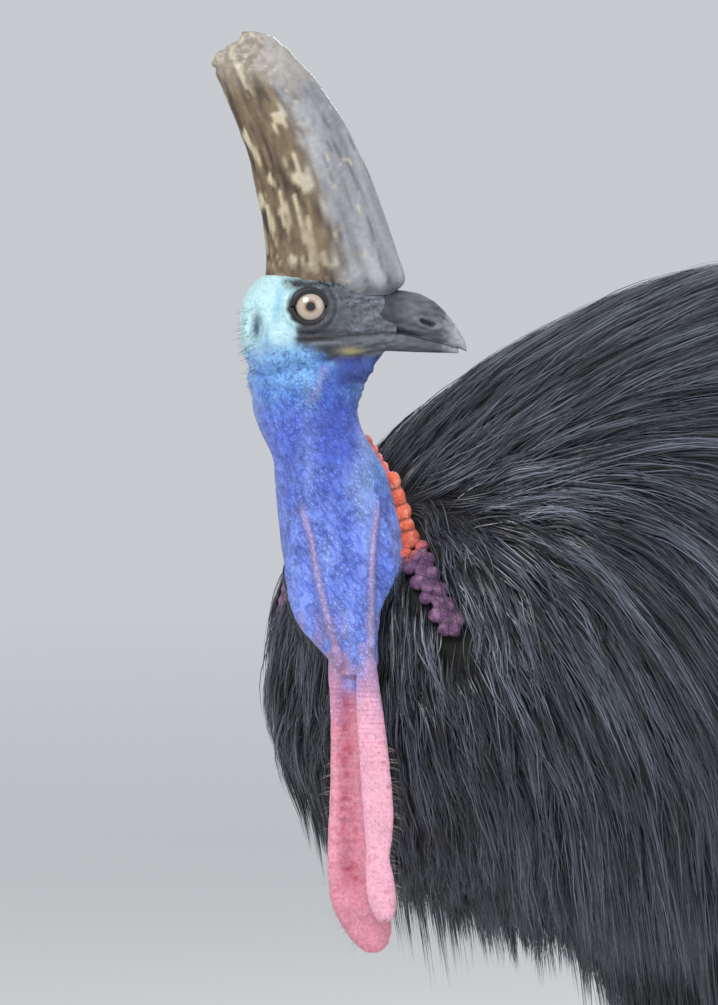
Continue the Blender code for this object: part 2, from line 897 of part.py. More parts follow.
def thigh(side, material):
    """The feathered drumstick, from inside the body down to the hock."""
    knee, hock = leg_point(side, KNEE), leg_point(side, HOCK)
    stations = [(0.0, 78, 92), (0.25, 76, 88), (0.5, 64, 72), (0.72, 50, 55), (0.88, 40, 43), (0.96, 34, 36)]
    rings = []
    way = (hock - knee).normalized()
    front = Vector((1, 0, 0)).cross(way).normalized()
    side_axis = way.cross(front).normalized()
    for share, across, deep in sampled(stations, 6):
        rings.append(ring(knee.lerp(hock, share), side_axis, front, across * MM, deep * MM, deep * MM, 12))
    return solid("thigh_left" if side > 0 else "thigh_right", rings, material)


def thigh_roots(side, draw):
    """Locks round the bare end of the drumstick's coat."""
    knee, hock = leg_point(side, KNEE), leg_point(side, HOCK)
    roots = []
    for share, count, reach in ((0.60, 6, 62), (0.79, 6, 50)):
        for k in range(count):
            angle = 2 * math.pi * (k + (0.5 if share > 0.7 else 0)) / count
            out = Vector((math.cos(angle), math.sin(angle), 0))
            spot = knee.lerp(hock, share) + out * reach * MM
            roots.append((spot, 0.100, 0.054, 21 * MM))
    return roots


def hanging_locks(surface, roots, draw, material):
    """Short locks that hang close against a limb."""
    locks = []
    for spot, length, width, lift in roots:
        hit, normal, _, _ = surface.find_nearest(spot)
        path = [(hit - normal * 7 * MM, normal)]
        point = hit
        reach = length * draw.uniform(0.92, 1.08)
        for k in range(1, 4):
            down = Vector((0, 0.25, -1)).normalized()
            flat = (down - normal * down.dot(normal)).normalized()
            point = point + flat * (reach / 3)
            near, near_normal, _, _ = surface.find_nearest(point)
            point = near + near_normal * (lift * k / 3)
            normal = near_normal
            path.append((point.copy(), normal.copy()))
        locks += sound_lock(path, width, 4.5 * MM, material)
    return locks


def shank(side, material):
    """The scaly leg from the hock to the foot, with raised scutes down its front."""
    hock, foot = leg_point(side, HOCK), foot_at(side)
    foot_top = foot + Vector((0, 0.010, 0.040))
    front = Vector((0, -1, 0))
    across = Vector((1, 0, 0))
    rings = []
    knob = [(0.052, 26, 22), (0.034, 30, 30), (0.012, 33, 36), (-0.014, 31, 35), (-0.038, 25, 27)]
    for rise, wide, deep in knob:
        rings.append(ring(hock + UP * rise, across, front, wide * MM, deep * MM, deep * MM, 8))
    scutes = 7
    for k in range(scutes):
        for edge, proud in ((0.06, 0.0), (0.94, 2.4)):
            share = 0.14 + 0.76 * (k + edge) / scutes
            at = hock.lerp(foot_top, share)
            wide = 21 - 2.5 * math.sin(math.pi * share)
            deep = 25 - 4 * math.sin(math.pi * share)
            rings.append(ring(at, across, front, (wide + proud * 0.4) * MM, (deep + proud) * MM, deep * MM, 8))
    for rise, wide, deep, shift in ((0.040, 24, 27, 0.0), (0.026, 30, 31, -3), (0.012, 32, 33, -4), (0.0, 28, 30, -4)):
        middle = foot + Vector((0, 0.010 + shift * MM, rise))
        rings.append(ring(middle, across, front, wide * MM, deep * MM, deep * MM, 8))
    return solid("shank_left" if side > 0 else "shank_right", rings, material)


# Each toe: how far it turns out, where it begins and ends from the foot's middle, its half width.
TOES = {
    "inner": (-24, 12, 84, 17, 2),
    "middle": (3, 12, 142, 20.5, 4),
    "outer": (32, 12, 104, 16.5, 3),
}
CLAWS = {"inner": (104, 11, 0.25), "middle": (44, 9.5, 0.7), "outer": (36, 8.5, 0.7)}


def toe_axes(side, turn):
    """The way that a toe points, and the way across it."""
    angle = math.radians(turn) * side
    way = Vector((math.sin(angle), -math.cos(angle), 0))
    return way, Vector((-way.y, way.x, 0))


def toe(side, kind, material):
    """A padded toe with raised scutes on top and a flat sole."""
    turn, start, end, half, scutes = TOES[kind]
    way, across = toe_axes(side, turn)
    foot = foot_at(side)
    rings = []
    for k in range(scutes):
        for edge, proud in ((0.04, 0.0), (0.96, 1.8)):
            share = (k + edge) / scutes
            at = foot + way * ((start + (end - start) * share) * MM)
            wide = half * (1.06 - 0.22 * share)
            pad = 1 + 0.10 * math.sin(math.pi * 3 * share)
            high = half * (1.75 - 0.62 * share) + proud
            middle = at + UP * (9.5 * MM)
            rings.append(ring(middle, across, UP, wide * pad * MM, (high - 9.5) * MM, 10.8 * MM, 8, 2.3))
    tip = foot + way * ((end + 9) * MM) + UP * (9 * MM)
    made = solid("toe", rings, material, tip)
    for vertex in made.data.vertices:
        vertex.co.z = max(vertex.co.z, 0.0)
    made.name = f"toe_{kind}_{'left' if side > 0 else 'right'}"
    return made


def claw(side, kind, material):
    """A horn claw; the inner one is a long straight dagger."""
    turn, _, end, _, _ = TOES[kind]
    length, thick, curve = CLAWS[kind]
    way, _ = toe_axes(side, turn)
    root = foot_at(side) + way * ((end - 7) * MM) + UP * (11.5 * MM)
    path, radii = [], []
    for k in range(6):
        share = k / 5
        rise = 3.5 * math.sin(math.pi * share) * (1 + curve) - 7.0 * share
        path.append(root + way * (length * share * MM) + UP * (rise * MM))
        radii.append(thick * (1 - share) ** 0.75 * MM if k < 5 else 0.0)
    name = f"claw_{kind}_{'left' if side > 0 else 'right'}"
    made = tube(name, path[:-1], radii[:-1], 6, material, flat=0.85, tip=path[-1])
    for vertex in made.data.vertices:
        vertex.co.z = max(vertex.co.z, 0.0012)
    return made


def build_head(skin, horn):
    """Head, casque, bill and eyes, each cut clear of the next."""
    top = casque()
    upper = upper_bill(horn)
    lower = lower_bill(horn)
    cut_with(upper, nostril(1, horn))
    cut_with(upper, nostril(-1, horn))
    cut_clear(upper, top)
    cut_clear(lower, upper)
    eyes = [eye(1), eye(-1)]
    for ball in eyes:
        cut_clear(ball, top)
    head = skull(skin)
    pieces = [neck_length("throat", -46, THROAT_CUT - 4, 5, skin)]
    for side in (1, -1):
        pieces += lids(side, skin) + throat_folds(side, skin)
    fused(head, pieces)
    for side in (1, -1):
        cut_with(head, ear(side, skin))
    level = THROAT_CUT * MM + HEAD_AT.z
    cut_below(head, level)
    cut_clear(head, top, upper, lower, *eyes)
    return head


def cut_below(made, level):
    """Takes away what lies under a level plane."""
    block = bmesh.new()
    bmesh.ops.create_cube(block, size=1.0)
    for vertex in block.verts:
        vertex.co = vertex.co * 0.6 + Vector((HEAD_AT.x, HEAD_AT.y, level - 0.3))
    cut_with(made, as_object("block", block, made.data.materials[0]))


def build_neck(skin, wattle_skin):
    """Both lengths of the neck and the wattles."""
    gap = GAP / MM
    upper = neck_length("neck_upper", THROAT_CUT - gap, NECK_CUT, 6, skin)
    lower = neck_length("neck_lower", NECK_CUT - gap, -262, 9, skin)
    fused(lower, [flap(skin)])
    surface = surface_of(upper, lower)
    ropes = ridges(surface, skin)
    fused(lower, ropes)
    cut_above(lower, (NECK_CUT - gap) * MM + HEAD_AT.z)
    right = wattle("wattle_right", RIGHT_WATTLE, wattle_skin)
    left = wattle("wattle_left", LEFT_WATTLE, wattle_skin)
    cut_clear(lower, right, left)
    return upper, lower


def cut_above(made, level):
    """Takes away what lies over a level plane."""
    block = bmesh.new()
    bmesh.ops.create_cube(block, size=1.0)
    for vertex in block.verts:
        vertex.co = vertex.co * 0.6 + Vector((HEAD_AT.x, HEAD_AT.y, level + 0.3))
    cut_with(made, as_object("block", block, made.data.materials[0]))


def build_leg(side, plume, scale, horn):
    """Drumstick, shank, toes and claws of one leg."""
    drum = thigh(side, plume)
    lower = shank(side, scale)
    toes = {kind: toe(side, kind, scale) for kind in TOES}
    claws = {kind: claw(side, kind, horn) for kind in TOES}
    cut_clear(lower, *toes.values())
    for kind in ("inner", "outer"):
        cut_clear(toes[kind], toes["middle"])
    for kind in TOES:
        cut_clear(toes[kind], claws[kind])
    surface = surface_of(drum)
    draw = random.Random(30)
    locks = hanging_locks(surface, thigh_roots(side, draw), draw, plume)
    fused(drum, locks, "MANIFOLD")
    cut_clear(drum, lower)
    return drum


def main():
    for made in list(bpy.data.objects):
        bpy.data.objects.remove(made)
    skin = finish("blue_skin", (0.10, 0.22, 0.75), 0.55)
    wattle_skin = finish("wattle_skin", (0.78, 0.28, 0.38), 0.5)
    bead_skin = finish("caruncle_skin", (0.60, 0.15, 0.16), 0.45)
    plume = finish("plumage", (0.030, 0.033, 0.042), 0.6)
    quill_horn = finish("quill_horn", (0.015, 0.015, 0.017), 0.35)
    horn = finish("bill_horn", (0.09, 0.09, 0.10), 0.4)
    claw_horn = finish("claw_horn", (0.06, 0.055, 0.05), 0.4)
    scale = finish("leg_scale", (0.20, 0.18, 0.14), 0.6)

    head = build_head(skin, horn)
    upper, lower = build_neck(skin, wattle_skin)
    body = body_length("body", BODY[0][0], BODY[-1][0], 26, plume)
    whole = surface_of(body, lower, upper)
    torso = body_length("torso", BODY[0][0], TAIL_CUT, 12, plume)
    tail = body_length("tail", TAIL_CUT + GAP, BODY[-1][0], 5, plume)
    body_skin = surface_of(body)
    bpy.data.objects.remove(body)

    left_path = band_path(whole, 10)
    right_path = evened([body_skin.find_nearest(point)[:2] for point, _ in mirrored(left_path)])
    caruncles("caruncles_left", left_path, 11, bead_skin)
    caruncles("caruncles_right", right_path, 12, bead_skin)
    neck_skin = surface_of(upper, lower)
    nape(neck_skin, bead_skin)

    wings = [wing(side, plume, quill_horn) for side in (1, -1)]
    thighs = [build_leg(side, plume, scale, claw_horn) for side in (1, -1)]

    draw = random.Random(7)
    roots = collar_roots() + clear_of_legs(torso_roots(draw))
    fused(torso, coat(body_skin, roots, draw, plume))
    fused(tail, coat(body_skin, tail_roots(), draw, plume))
    for part in (upper, lower):
        cut_with(part, nape(neck_skin, bead_skin, MARGIN))
    for part in (upper, lower, torso):
        cut_with(part, caruncles("band", left_path, 11, bead_skin, MARGIN))
    for part in (lower, torso):
        cut_with(part, caruncles("band", right_path, 12, bead_skin, MARGIN))
    cut_clear(torso, lower, *thighs)
    cut_clear(torso, *wings, gap=MARGIN)
    for made in bpy.data.objects:
        plain_faces(made)
        for vertex in made.data.vertices:
            vertex.co.y += SET_BACK


main()
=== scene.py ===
import math

import bmesh
import bpy
import numpy as np
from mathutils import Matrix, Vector
from mathutils.bvhtree import BVHTree


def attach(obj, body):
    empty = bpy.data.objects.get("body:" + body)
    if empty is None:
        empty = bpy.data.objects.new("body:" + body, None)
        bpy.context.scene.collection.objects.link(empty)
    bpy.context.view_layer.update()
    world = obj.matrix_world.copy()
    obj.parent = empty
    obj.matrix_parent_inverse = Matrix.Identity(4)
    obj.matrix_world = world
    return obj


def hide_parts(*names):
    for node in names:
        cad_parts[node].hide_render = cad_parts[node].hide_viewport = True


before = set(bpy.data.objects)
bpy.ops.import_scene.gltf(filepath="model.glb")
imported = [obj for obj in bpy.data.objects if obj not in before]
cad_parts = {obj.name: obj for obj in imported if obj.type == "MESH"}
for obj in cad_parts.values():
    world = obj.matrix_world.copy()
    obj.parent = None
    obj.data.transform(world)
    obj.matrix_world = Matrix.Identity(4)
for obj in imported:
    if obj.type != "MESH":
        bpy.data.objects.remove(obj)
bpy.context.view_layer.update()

# Skin of the whole bird: bare, wrinkled and blue on the head and neck, drawn out below into two
# pink wattles, beaded orange and purple along two bands, dark under the plumage, and horny and
# plated on the legs. It is cast over the armature in one piece, so it has no seam.

MM = 0.001
HEAD_AT = np.array((0.013, -0.418, 1.030))
HEAD_TURN = math.radians(50)
FORWARD = np.array((math.cos(HEAD_TURN), math.sin(HEAD_TURN), 0.0))
RIGHT = np.array((math.sin(HEAD_TURN), -math.cos(HEAD_TURN), 0.0))
X, Y = np.array((1.0, 0.0, 0.0)), np.array((0.0, 1.0, 0.0))
UP = np.array((0.0, 0.0, 1.0))
SET_BACK = 0.040


def head_place(forward, right, up):
    """A place from its distances along, out to the right of and above the eyes, in mm."""
    steps = [np.multiply.outer(np.asarray(n, float), way) for n, way in
             ((forward, FORWARD), (right, RIGHT), (up, UP))]
    return HEAD_AT + sum(steps) * MM


def head_measures(points):
    """How far points are forward, right of and above the eyes, in mm."""
    away = (points - HEAD_AT) / MM
    return away @ FORWARD, away @ RIGHT, away @ UP


def unit(way):
    """One way, made one long."""
    return way / np.linalg.norm(way)


def units(ways):
    """Many ways, each made one long."""
    return ways / np.linalg.norm(ways, axis=-1, keepdims=True)


def smooth_rows(rows, count):
    """count rows spread evenly along a smooth curve through the given ones."""
    rows = np.asarray(rows, float)
    last = len(rows) - 1
    at = np.linspace(0, last, count)
    i = np.minimum(at.astype(int), last - 1)
    t = (at - i)[:, None]
    a, b, c, d = (rows[np.clip(i + k, 0, last)] for k in (-1, 0, 1, 2))
    bend = (2 * a - 5 * b + 4 * c - d) * t ** 2 + (3 * b - a - 3 * c + d) * t ** 3
    return 0.5 * (2 * b + (c - a) * t + bend)


def eased(x, low, high):
    """0 below low, 1 above high, and a soft step between them."""
    t = np.clip((np.asarray(x, float) - low) / (high - low), 0, 1)
    return t * t * (3 - 2 * t)


def hump(x, middle, width):
    """A soft rise of height 1 round a middle."""
    return np.exp(-(((x - middle) / width) ** 2))


def blot(x, middle_x, wide, y, middle_y, high):
    """A soft rise of height 1 round a spot, with its own width and height."""
    return np.exp(-(((x - middle_x) / wide) ** 2) - (((y - middle_y) / high) ** 2))


def speckle(points, size, seed):
    """Soft random values from -1 to 1 over space, with grains of one size."""
    scaled = points / size
    cell = np.floor(scaled).astype(np.int64)
    part = scaled - cell
    part = part * part * (3 - 2 * part)
    total = np.zeros(len(points))
    for corner in np.ndindex(2, 2, 2):
        x, y, z = (cell + np.array(corner)).T
        mixed = x * 73856093 ^ y * 19349663 ^ z * 83492791 ^ (seed * 2654435761)
        mixed = (mixed ^ (mixed >> 13)) * 1274126177
        value = ((mixed >> 9) & 0xFFFF) / 32767.5 - 1
        share = np.prod(np.where(corner, part, 1 - part), axis=1)
        total += share * value
    return total


def grain(places, size, seed):
    """Speckle over places given as three measures, which are drawn out along the grain."""
    return speckle(np.stack(places, axis=1), size, seed)


def paint(red, green, blue):
    """A mixed paint, given as a paint chart does from 0 to 255, as light."""
    n = np.array((red, green, blue)) / 255
    return np.where(n < 0.04045, n / 12.92, ((n + 0.055) / 1.055) ** 2.4)


def put_in_scene(name, data):
    """A new object that holds a mesh, a lamp or a lens."""
    made = bpy.data.objects.new(name, data)
    bpy.context.scene.collection.objects.link(made)
    return made


class Cast:
    """Points and faces that build up into one mesh."""

    def __init__(self):
        self.points, self.faces, self.kinds, self.count = [], [], [], 0

    def add(self, points, faces, kind=0):
        self.points.append(points)
        self.faces += [[self.count + v for v in face] for face in faces]
        self.kinds += [kind] * len(faces)
        self.count += len(points)

    def loft(self, rings, kind=0):
        """Skin over rings of points, closed at both ends."""
        rings = np.asarray(rings)
        rows, sides, _ = rings.shape
        faces = []
        for k in range(rows - 1):
            for j in range(sides):
                a, b = k * sides + j, k * sides + (j + 1) % sides
                faces.append((a, b, b + sides, a + sides))
        first, last = rows * sides, rows * sides + 1
        for j in range(sides):
            faces.append((first, (j + 1) % sides, j))
            end = (rows - 1) * sides
            faces.append((last, end + j, end + (j + 1) % sides))
        points = np.vstack((rings.reshape(-1, 3), rings[0].mean(axis=0), rings[-1].mean(axis=0)))
        self.add(points, faces, kind)

    def piece(self, name, *materials):
        """The finished mesh as an object."""
        mesh = bpy.data.meshes.new(name)
        mesh.from_pydata(np.vstack(self.points).tolist(), [], self.faces)
        made = put_in_scene(name, mesh)
        for material in materials:
            mesh.materials.append(material)
        mesh.polygons.foreach_set("material_index", self.kinds)
        mesh.shade_smooth()
        mesh.update()
        tidy = bmesh.new()
        tidy.from_mesh(mesh)
        bmesh.ops.recalc_face_normals(tidy, faces=tidy.faces)
        tidy.to_mesh(mesh)
        tidy.free()
        return made


def egg_ring(centre, side, up, half_width, rise, drop, sides, fullness=2.0):
    """An egg-shaped ring round a centre."""
    angle = 2 * math.pi * (np.arange(sides) + 0.5) / sides
    c, s = np.cos(angle), np.sin(angle)
    across = half_width * np.sign(c) * np.abs(c) ** (2 / fullness)
    along = np.where(s > 0, rise, drop) * np.sign(s) * np.abs(s) ** (2 / fullness)
    return centre + np.multiply.outer(across, side) + np.multiply.outer(along, up)


def level_rings(stations, count, sides, fullness=2.0):
    """Level cuts through a neck, flap or wattle: forward, right, up, half length, half thickness."""
    rings = []
    for f, r, h, long, thick in smooth_rows(stations, count):
        rings.append(egg_ring(head_place(f, r, h), FORWARD, RIGHT, long * MM, thick * MM, thick * MM,
                              sides, fullness))
    return rings


def pipe_rings(path, radii, sides, facing=None, flat=1.0):
    """Rings round a path; facing is the side that flat thins."""
    path = np.asarray(path)
    radii = np.broadcast_to(radii, len(path))
    facing = UP if facing is None else facing
    rings = []
    for point, way, radius in zip(path, units(np.gradient(path, axis=0)), radii):
        side = unit(np.cross(way, facing))
        up = np.cross(side, way)
        rings.append(egg_ring(point, side, up, radius, radius * flat, radius * flat, sides))
    return rings


def ball_rings(centre, radii, axes, rows, sides):
    """Rings round a bead with three radii along three axes."""
    rings = []
    for k in range(1, rows):
        angle = math.pi * k / rows
        at = centre - axes[0] * radii[0] * math.cos(angle)
        wide, high = radii[1] * math.sin(angle), radii[2] * math.sin(angle)
        rings.append(egg_ring(at, axes[1], axes[2], wide, high, high, sides))
    return rings


# stations of the skull: distance forward, top, bottom and half width, in mm
SKULL = [
    (-55, -4, -30, 9), (-51, 8, -44, 20), (-42, 20, -58, 28), (-28, 26, -64, 33.5), (-10, 27, -62, 35),
    (8, 26, -54, 33.5), (26, 22, -45, 28), (44, 16, -40, 22), (60, 10, -37, 17), (70, 5, -35, 13),
]
# stations of the neck, flap and wattles: forward, right, up, half length and half thickness, in mm
NECK = [
    (-2, 0, -40, 42, 20), (-1, 0, -50, 48, 25), (-3.5, 0, -60, 45, 29), (-4, 0, -71, 42, 32),
    (-3, 0, -84, 41, 33.5), (1.5, -1, -100, 40.5, 35), (13, -3, -123, 42, 37), (18, -6, -140, 45.5, 39),
    (21, -10, -157, 47, 41), (25, -15, -178, 49, 44), (28, -20, -198, 50, 47), (32, -27, -216, 50, 50),
    (38, -42, -240, 49, 52), (44, -62, -268, 46, 50),
]
FLAP = [
    (24, 12, -168, 38, 14), (25, 16, -190, 42, 14), (25, 20, -212, 44.5, 13), (24, 23, -226, 41.5, 12),
    (22, 26, -242, 36, 11), (25, 29, -257, 31, 10), (30, 31, -270, 25, 9.5), (36, 33, -283, 19.5, 9),
    (37, 34, -294, 16, 6),
]
RIGHT_WATTLE = [
    (26, 32, -274, 10, 4), (28, 31, -292, 12.5, 6), (30, 29, -318, 13, 6.5), (31, 28, -350, 13.5, 6.5),
    (32, 27, -384, 15, 6.5), (33, 26, -420, 17.5, 7), (34, 26, -448, 19, 7.5), (39, 26, -476, 21.5, 8),
    (46, 26, -497, 19.5, 8), (50, 26, -511, 13, 6.5), (51, 26, -518, 5, 3),
]
LEFT_WATTLE = [
    (46, 40, -268, 5, 3), (46, 43, -282, 7.6, 5), (47.5, 45, -310, 9.8, 6), (50, 45.5, -337, 11.2, 6),
    (52.6, 45.5, -365, 11.8, 6), (54.6, 45, -392, 12.2, 6), (55.6, 45, -412, 11.6, 6.5),
    (55.6, 45.5, -430, 10, 7), (55, 46.5, -441, 9.5, 7.5), (56.6, 46.5, -455, 11, 8),
    (58.2, 46, -471, 11.4, 8), (60, 46, -484, 8.6, 6.5), (60, 46, -491, 3.5, 3),
]
# the throat, the two ropes down the flap and the beaded band, in mm from the eyes
THROAT = [(56, -33), (46, -45), (36.5, -57), (30, -74), (27, -92)]
ROPES = [
    [(-7, -154), (-4, -167), (2, -185), (4.5, -203), (8, -219), (12, -237), (17, -256), (21, -271),
     (26, -288)],
    [(54, -151), (54, -167), (51.5, -185), (50.5, -204), (50, -226), (49.5, -248), (49, -271),
     (47, -288)],
]
BAND = [
    (60, -10, -138), (66, -11, -154), (72, -12, -168), (77, -13, -182), (84, -12, -197),
    (91, -6, -210), (97, 2, -224), (105, 10, -239), (114, 18, -252), (121, 23, -262),
]
# stations of the body: distance along Y, top, bottom and half width, in metres
BODY = [
    (-0.416, 0.795, 0.700, 0.030), (-0.404, 0.832, 0.648, 0.082), (-0.362, 0.877, 0.590, 0.134),
    (-0.300, 0.920, 0.556, 0.166), (-0.210, 0.967, 0.531, 0.192), (-0.100, 1.009, 0.518, 0.207),
    (0.020, 1.038, 0.513, 0.210), (0.130, 1.030, 0.518, 0.202), (0.230, 0.986, 0.536, 0.180),
    (0.310, 0.924, 0.566, 0.145), (0.370, 0.862, 0.608, 0.104), (0.405, 0.800, 0.664, 0.060),
    (0.415, 0.765, 0.700, 0.030),
]
WIDEST_SHARE, BODY_FULLNESS = 0.47, 2.15


def body_sections(count, sides, shrink):
    """Sections of the body from breast to tail."""
    rings = []
    for y, top, bottom, half in smooth_rows(BODY, count):
        middle = bottom + WIDEST_SHARE * (top - bottom)
        centre = np.array((0.0, y + SET_BACK, middle))
        rings.append(egg_ring(centre, X, UP, half - shrink, top - middle - shrink,
                              middle - bottom - shrink, sides, BODY_FULLNESS))
    return rings


def tree_over(*ring_sets):
    """A search tree over the skin that some sets of rings carry, facing outwards."""
    cast = Cast()
    for rings in ring_sets:
        rings = np.asarray(rings)
        middles = rings.mean(axis=1)
        half_way = len(rings) // 2
        spokes = rings[half_way] - middles[half_way]
        turn = np.cross(spokes, np.roll(spokes, -1, axis=0)).sum(axis=0)
        if turn @ (middles[half_way + 1] - middles[half_way - 1]) < 0:
            rings = rings[:, ::-1]
        cast.loft(rings)
    points = np.vstack(cast.points).tolist()
    return BVHTree.FromPolygons(points, [list(face) for face in cast.faces])


def on_skin(tree, point):
    """The nearest place on a surface, and its slope."""
    spot, slope, _, _ = tree.find_nearest(Vector(point))
    return np.array(spot), np.array(slope)


def struck(tree, start, way):
    """The place where a line first meets a surface, and its slope, or None twice."""
    spot, slope, _, _ = tree.ray_cast(Vector(start), Vector(way))
    return (None, None) if spot is None else (np.array(spot), np.array(slope))


def stations_at(table, below, *columns):
    """Columns of a table of level stations, read at distances below the eyes in mm."""
    levels = [-row[2] for row in table]
    return [np.interp(below, levels, [row[k] for row in table]) for k in columns]


neck_rings, flap_rings = level_rings(NECK, 90, 72), level_rings(FLAP, 40, 48)
body_rings = body_sections(60, 72, 0.0)
neck_tree = tree_over(neck_rings, flap_rings)
whole_tree = tree_over(neck_rings, body_rings)
band_path = [on_skin(whole_tree, head_place(f, r, h)) for f, r, h in smooth_rows(BAND, 24)]
mirror_path = [on_skin(whole_tree, point * (-1, 1, 1)) for point, _ in band_path]
bead_spots, nape_spots = [], []
# share of the band, from its top, along which the beads stand in one row
ONE_ROW = 0.46


def bead_run(path, seed, wide):
    """Rounded beads of skin set close along a path; returns their rings."""
    draw = np.random.default_rng(seed)
    runs = []
    last = len(path) - 1
    for k in range(1, last):
        point, slope = path[k]
        ahead = unit(path[k + 1][0] - path[k - 1][0])
        side = unit(np.cross(ahead, slope))
        single = k / last < ONE_ROW
        if single and k % 2 == 0:
            continue
        columns = (0.0,) if single else (-0.62, 0.62) if k % 2 else (0.05,)
        proud, fat = (4.0, 0.68) if single else (3.0, 0.50)
        for column in columns:
            shift = column * wide + draw.uniform(-0.9, 0.9)
            size = draw.uniform(0.88, 1.08) * wide * fat * MM
            at = point + slope * (proud * MM) + side * (shift * MM)
            at = at + ahead * (draw.uniform(-1, 1) * MM)
            radii = (size * draw.uniform(0.95, 1.2), size, size * draw.uniform(0.8, 0.95))
            runs.append(ball_rings(at, radii, (ahead, side, slope), 11, 18))
            bead_spots.append((at, size))
    return runs


flesh = Cast()
skull_rings = []
for f, top, bottom, half in smooth_rows(SKULL, 34):
    middle, rise = (top + bottom) / 2, (top - bottom) / 2 * MM
    skull_rings.append(egg_ring(head_place(f, 0, middle), RIGHT, UP, half * MM, rise, rise, 48, 2.3))
flesh.loft(skull_rings)
flesh.loft(neck_rings)
flesh.loft(flap_rings)
for table in (RIGHT_WATTLE, LEFT_WATTLE):
    flesh.loft(level_rings(table, 90, 36, 2.4))
throat_line = smooth_rows([head_place(f, 0, h) for f, h in THROAT], 40)
throat_radii = np.interp(np.linspace(0, 1, 40), (0, 0.3, 1), (5.5, 8.5, 10.5)) * MM
flesh.loft(pipe_rings(throat_line, throat_radii, 28, RIGHT))
# each rope lies on the flap as seen from the bird's right, and swells and narrows along its length
ROPE_FOOT, ROPE_SWELLS = -286, 17
for line in ROPES:
    rope = [struck(neck_tree, head_place(f, 200, max(h, ROPE_FOOT)), -RIGHT)[0]
            for f, h in smooth_rows(line, 60)]
    share = np.linspace(0, 1, 60)
    bulge = 1 + 0.16 * np.sin(share * 2 * math.pi * ROPE_SWELLS)
    rope = np.array(rope) + RIGHT * 0.8 * MM
    flesh.loft(pipe_rings(rope, (2.6 + 2.2 * share) * bulge * MM, 12, RIGHT))
for path, seed in ((band_path, 3), (mirror_path, 4)):
    for rings in bead_run(path, seed, 12):
        flesh.loft(rings)
NAPE_BACK, NAPE_ACROSS = np.array((-0.148, 0.989, 0.0)), np.array((-0.989, -0.148, 0.0))
NAPE_FOOT, NAPE_STEP = 0.888, 0.0075
nape_draw = np.random.default_rng(5)
neck_middle = head_place(12, -5, 0)
for row in range(5):
    for column in range(7):
        lean = (column - 3 + 0.25 * (-1) ** row) * 0.20 + 0.12
        out = NAPE_BACK * math.cos(lean) + NAPE_ACROSS * math.sin(lean)
        start = np.array((*neck_middle[:2], NAPE_FOOT + row * NAPE_STEP)) + out * 0.2
        spot, slope = struck(neck_tree, start, -out)
        side = unit(np.cross(UP, slope))
        size = nape_draw.uniform(5.5, 7.5) * MM
        at = spot + side * nape_draw.uniform(-1, 1) * MM + slope * 1.5 * MM
        flesh.loft(ball_rings(at, (size * 1.25, size * 0.8, size * 0.8), (side, UP, slope), 8, 12))
        nape_spots.append((at, size))

rough = flesh.piece("rough_flesh")
melt = rough.modifiers.new("melt", "REMESH")
melt.mode = "VOXEL"
melt.voxel_size = 1.35 * MM
settle = rough.modifiers.new("settle", "SMOOTH")
settle.factor = 0.5
settle.iterations = 3
graph = bpy.context.evaluated_depsgraph_get()
bare = bpy.data.meshes.new_from_object(rough.evaluated_get(graph))
bpy.data.objects.remove(rough)


def read_points(mesh, kind="co"):
    """Every point, or the way that the skin faces there."""
    values = np.empty(len(mesh.vertices) * 3, np.float32)
    mesh.vertices.foreach_get(kind, values)
    return values.reshape(-1, 3).astype(float)


def set_points(mesh, points):
    """Puts the points of a mesh at new places."""
    mesh.vertices.foreach_set("co", points.astype(np.float32).ravel())
    mesh.update()


def wrinkle_places(f, r, h):
    """Places drawn out along the slanting wrinkles of the neck."""
    return f * 0.8 + h * 0.6, (h * 0.8 - f * 0.6) * 0.32, r * 0.8


points = read_points(bare)
slopes = read_points(bare, "normal")
f, r, h = head_measures(points)
flank = eased(np.abs(slopes @ RIGHT), 0.25, 0.6)

# folds and hollows of the head
move = np.zeros(len(points))
ear_hollow = blot(f, -41.5, 3.6, h, -17, 10.5) * flank
move -= 7.0 * ear_hollow
move += 2.6 * blot(f, -49, 3.5, h, -19, 13) * flank
move += 2.2 * blot(f, -30, 9, h, -26, 8) * flank
for level, deep in ((-21.5, 1.3), (-27.5, 1.0)):
    line = level - 0.05 * (f - 5)
    move -= deep * hump(h, line, 1.3) * eased(f, -17, -10) * (1 - eased(f, 38, 48)) * flank
away = np.hypot(f, h / 0.95)
move += 1.6 * hump(away, 19.0, 2.0) * flank
move -= 1.4 * hump(away, 22.5, 1.6) * flank
brow = hump(h, 17.5 - 0.04 * f, 4.0) * eased(f, -20, -8) * (1 - eased(f, 30, 44)) * flank
move += 2.0 * brow
# wrinkles and sags of the neck, folds of the throat, and the fine grain of the crown
wrinkle = 1 - np.abs(grain(wrinkle_places(f, r, h), 3.1, 2))
on_neck = eased(-h, 44, 75) * (1 - eased(-h, 262, 285))
move += on_neck * (wrinkle - 0.6)
move += on_neck * 1.1 * grain((f, h * 0.22, r), 15.0, 9)
throat = eased(-h, 34, 44) * (1 - eased(-h, 70, 88))
fold = grain((f * 0.35 + h * 0.1, h * 0.9 + f * 0.25, r * 0.4), 7.5, 3)
move += throat * 2.4 * (0.5 - np.abs(fold))
crown = (1 - eased(-h, 30, 44)) * (1 - eased(f, -12, 0))
move += crown * 0.35 * speckle(points, 3.2 * MM, 1)
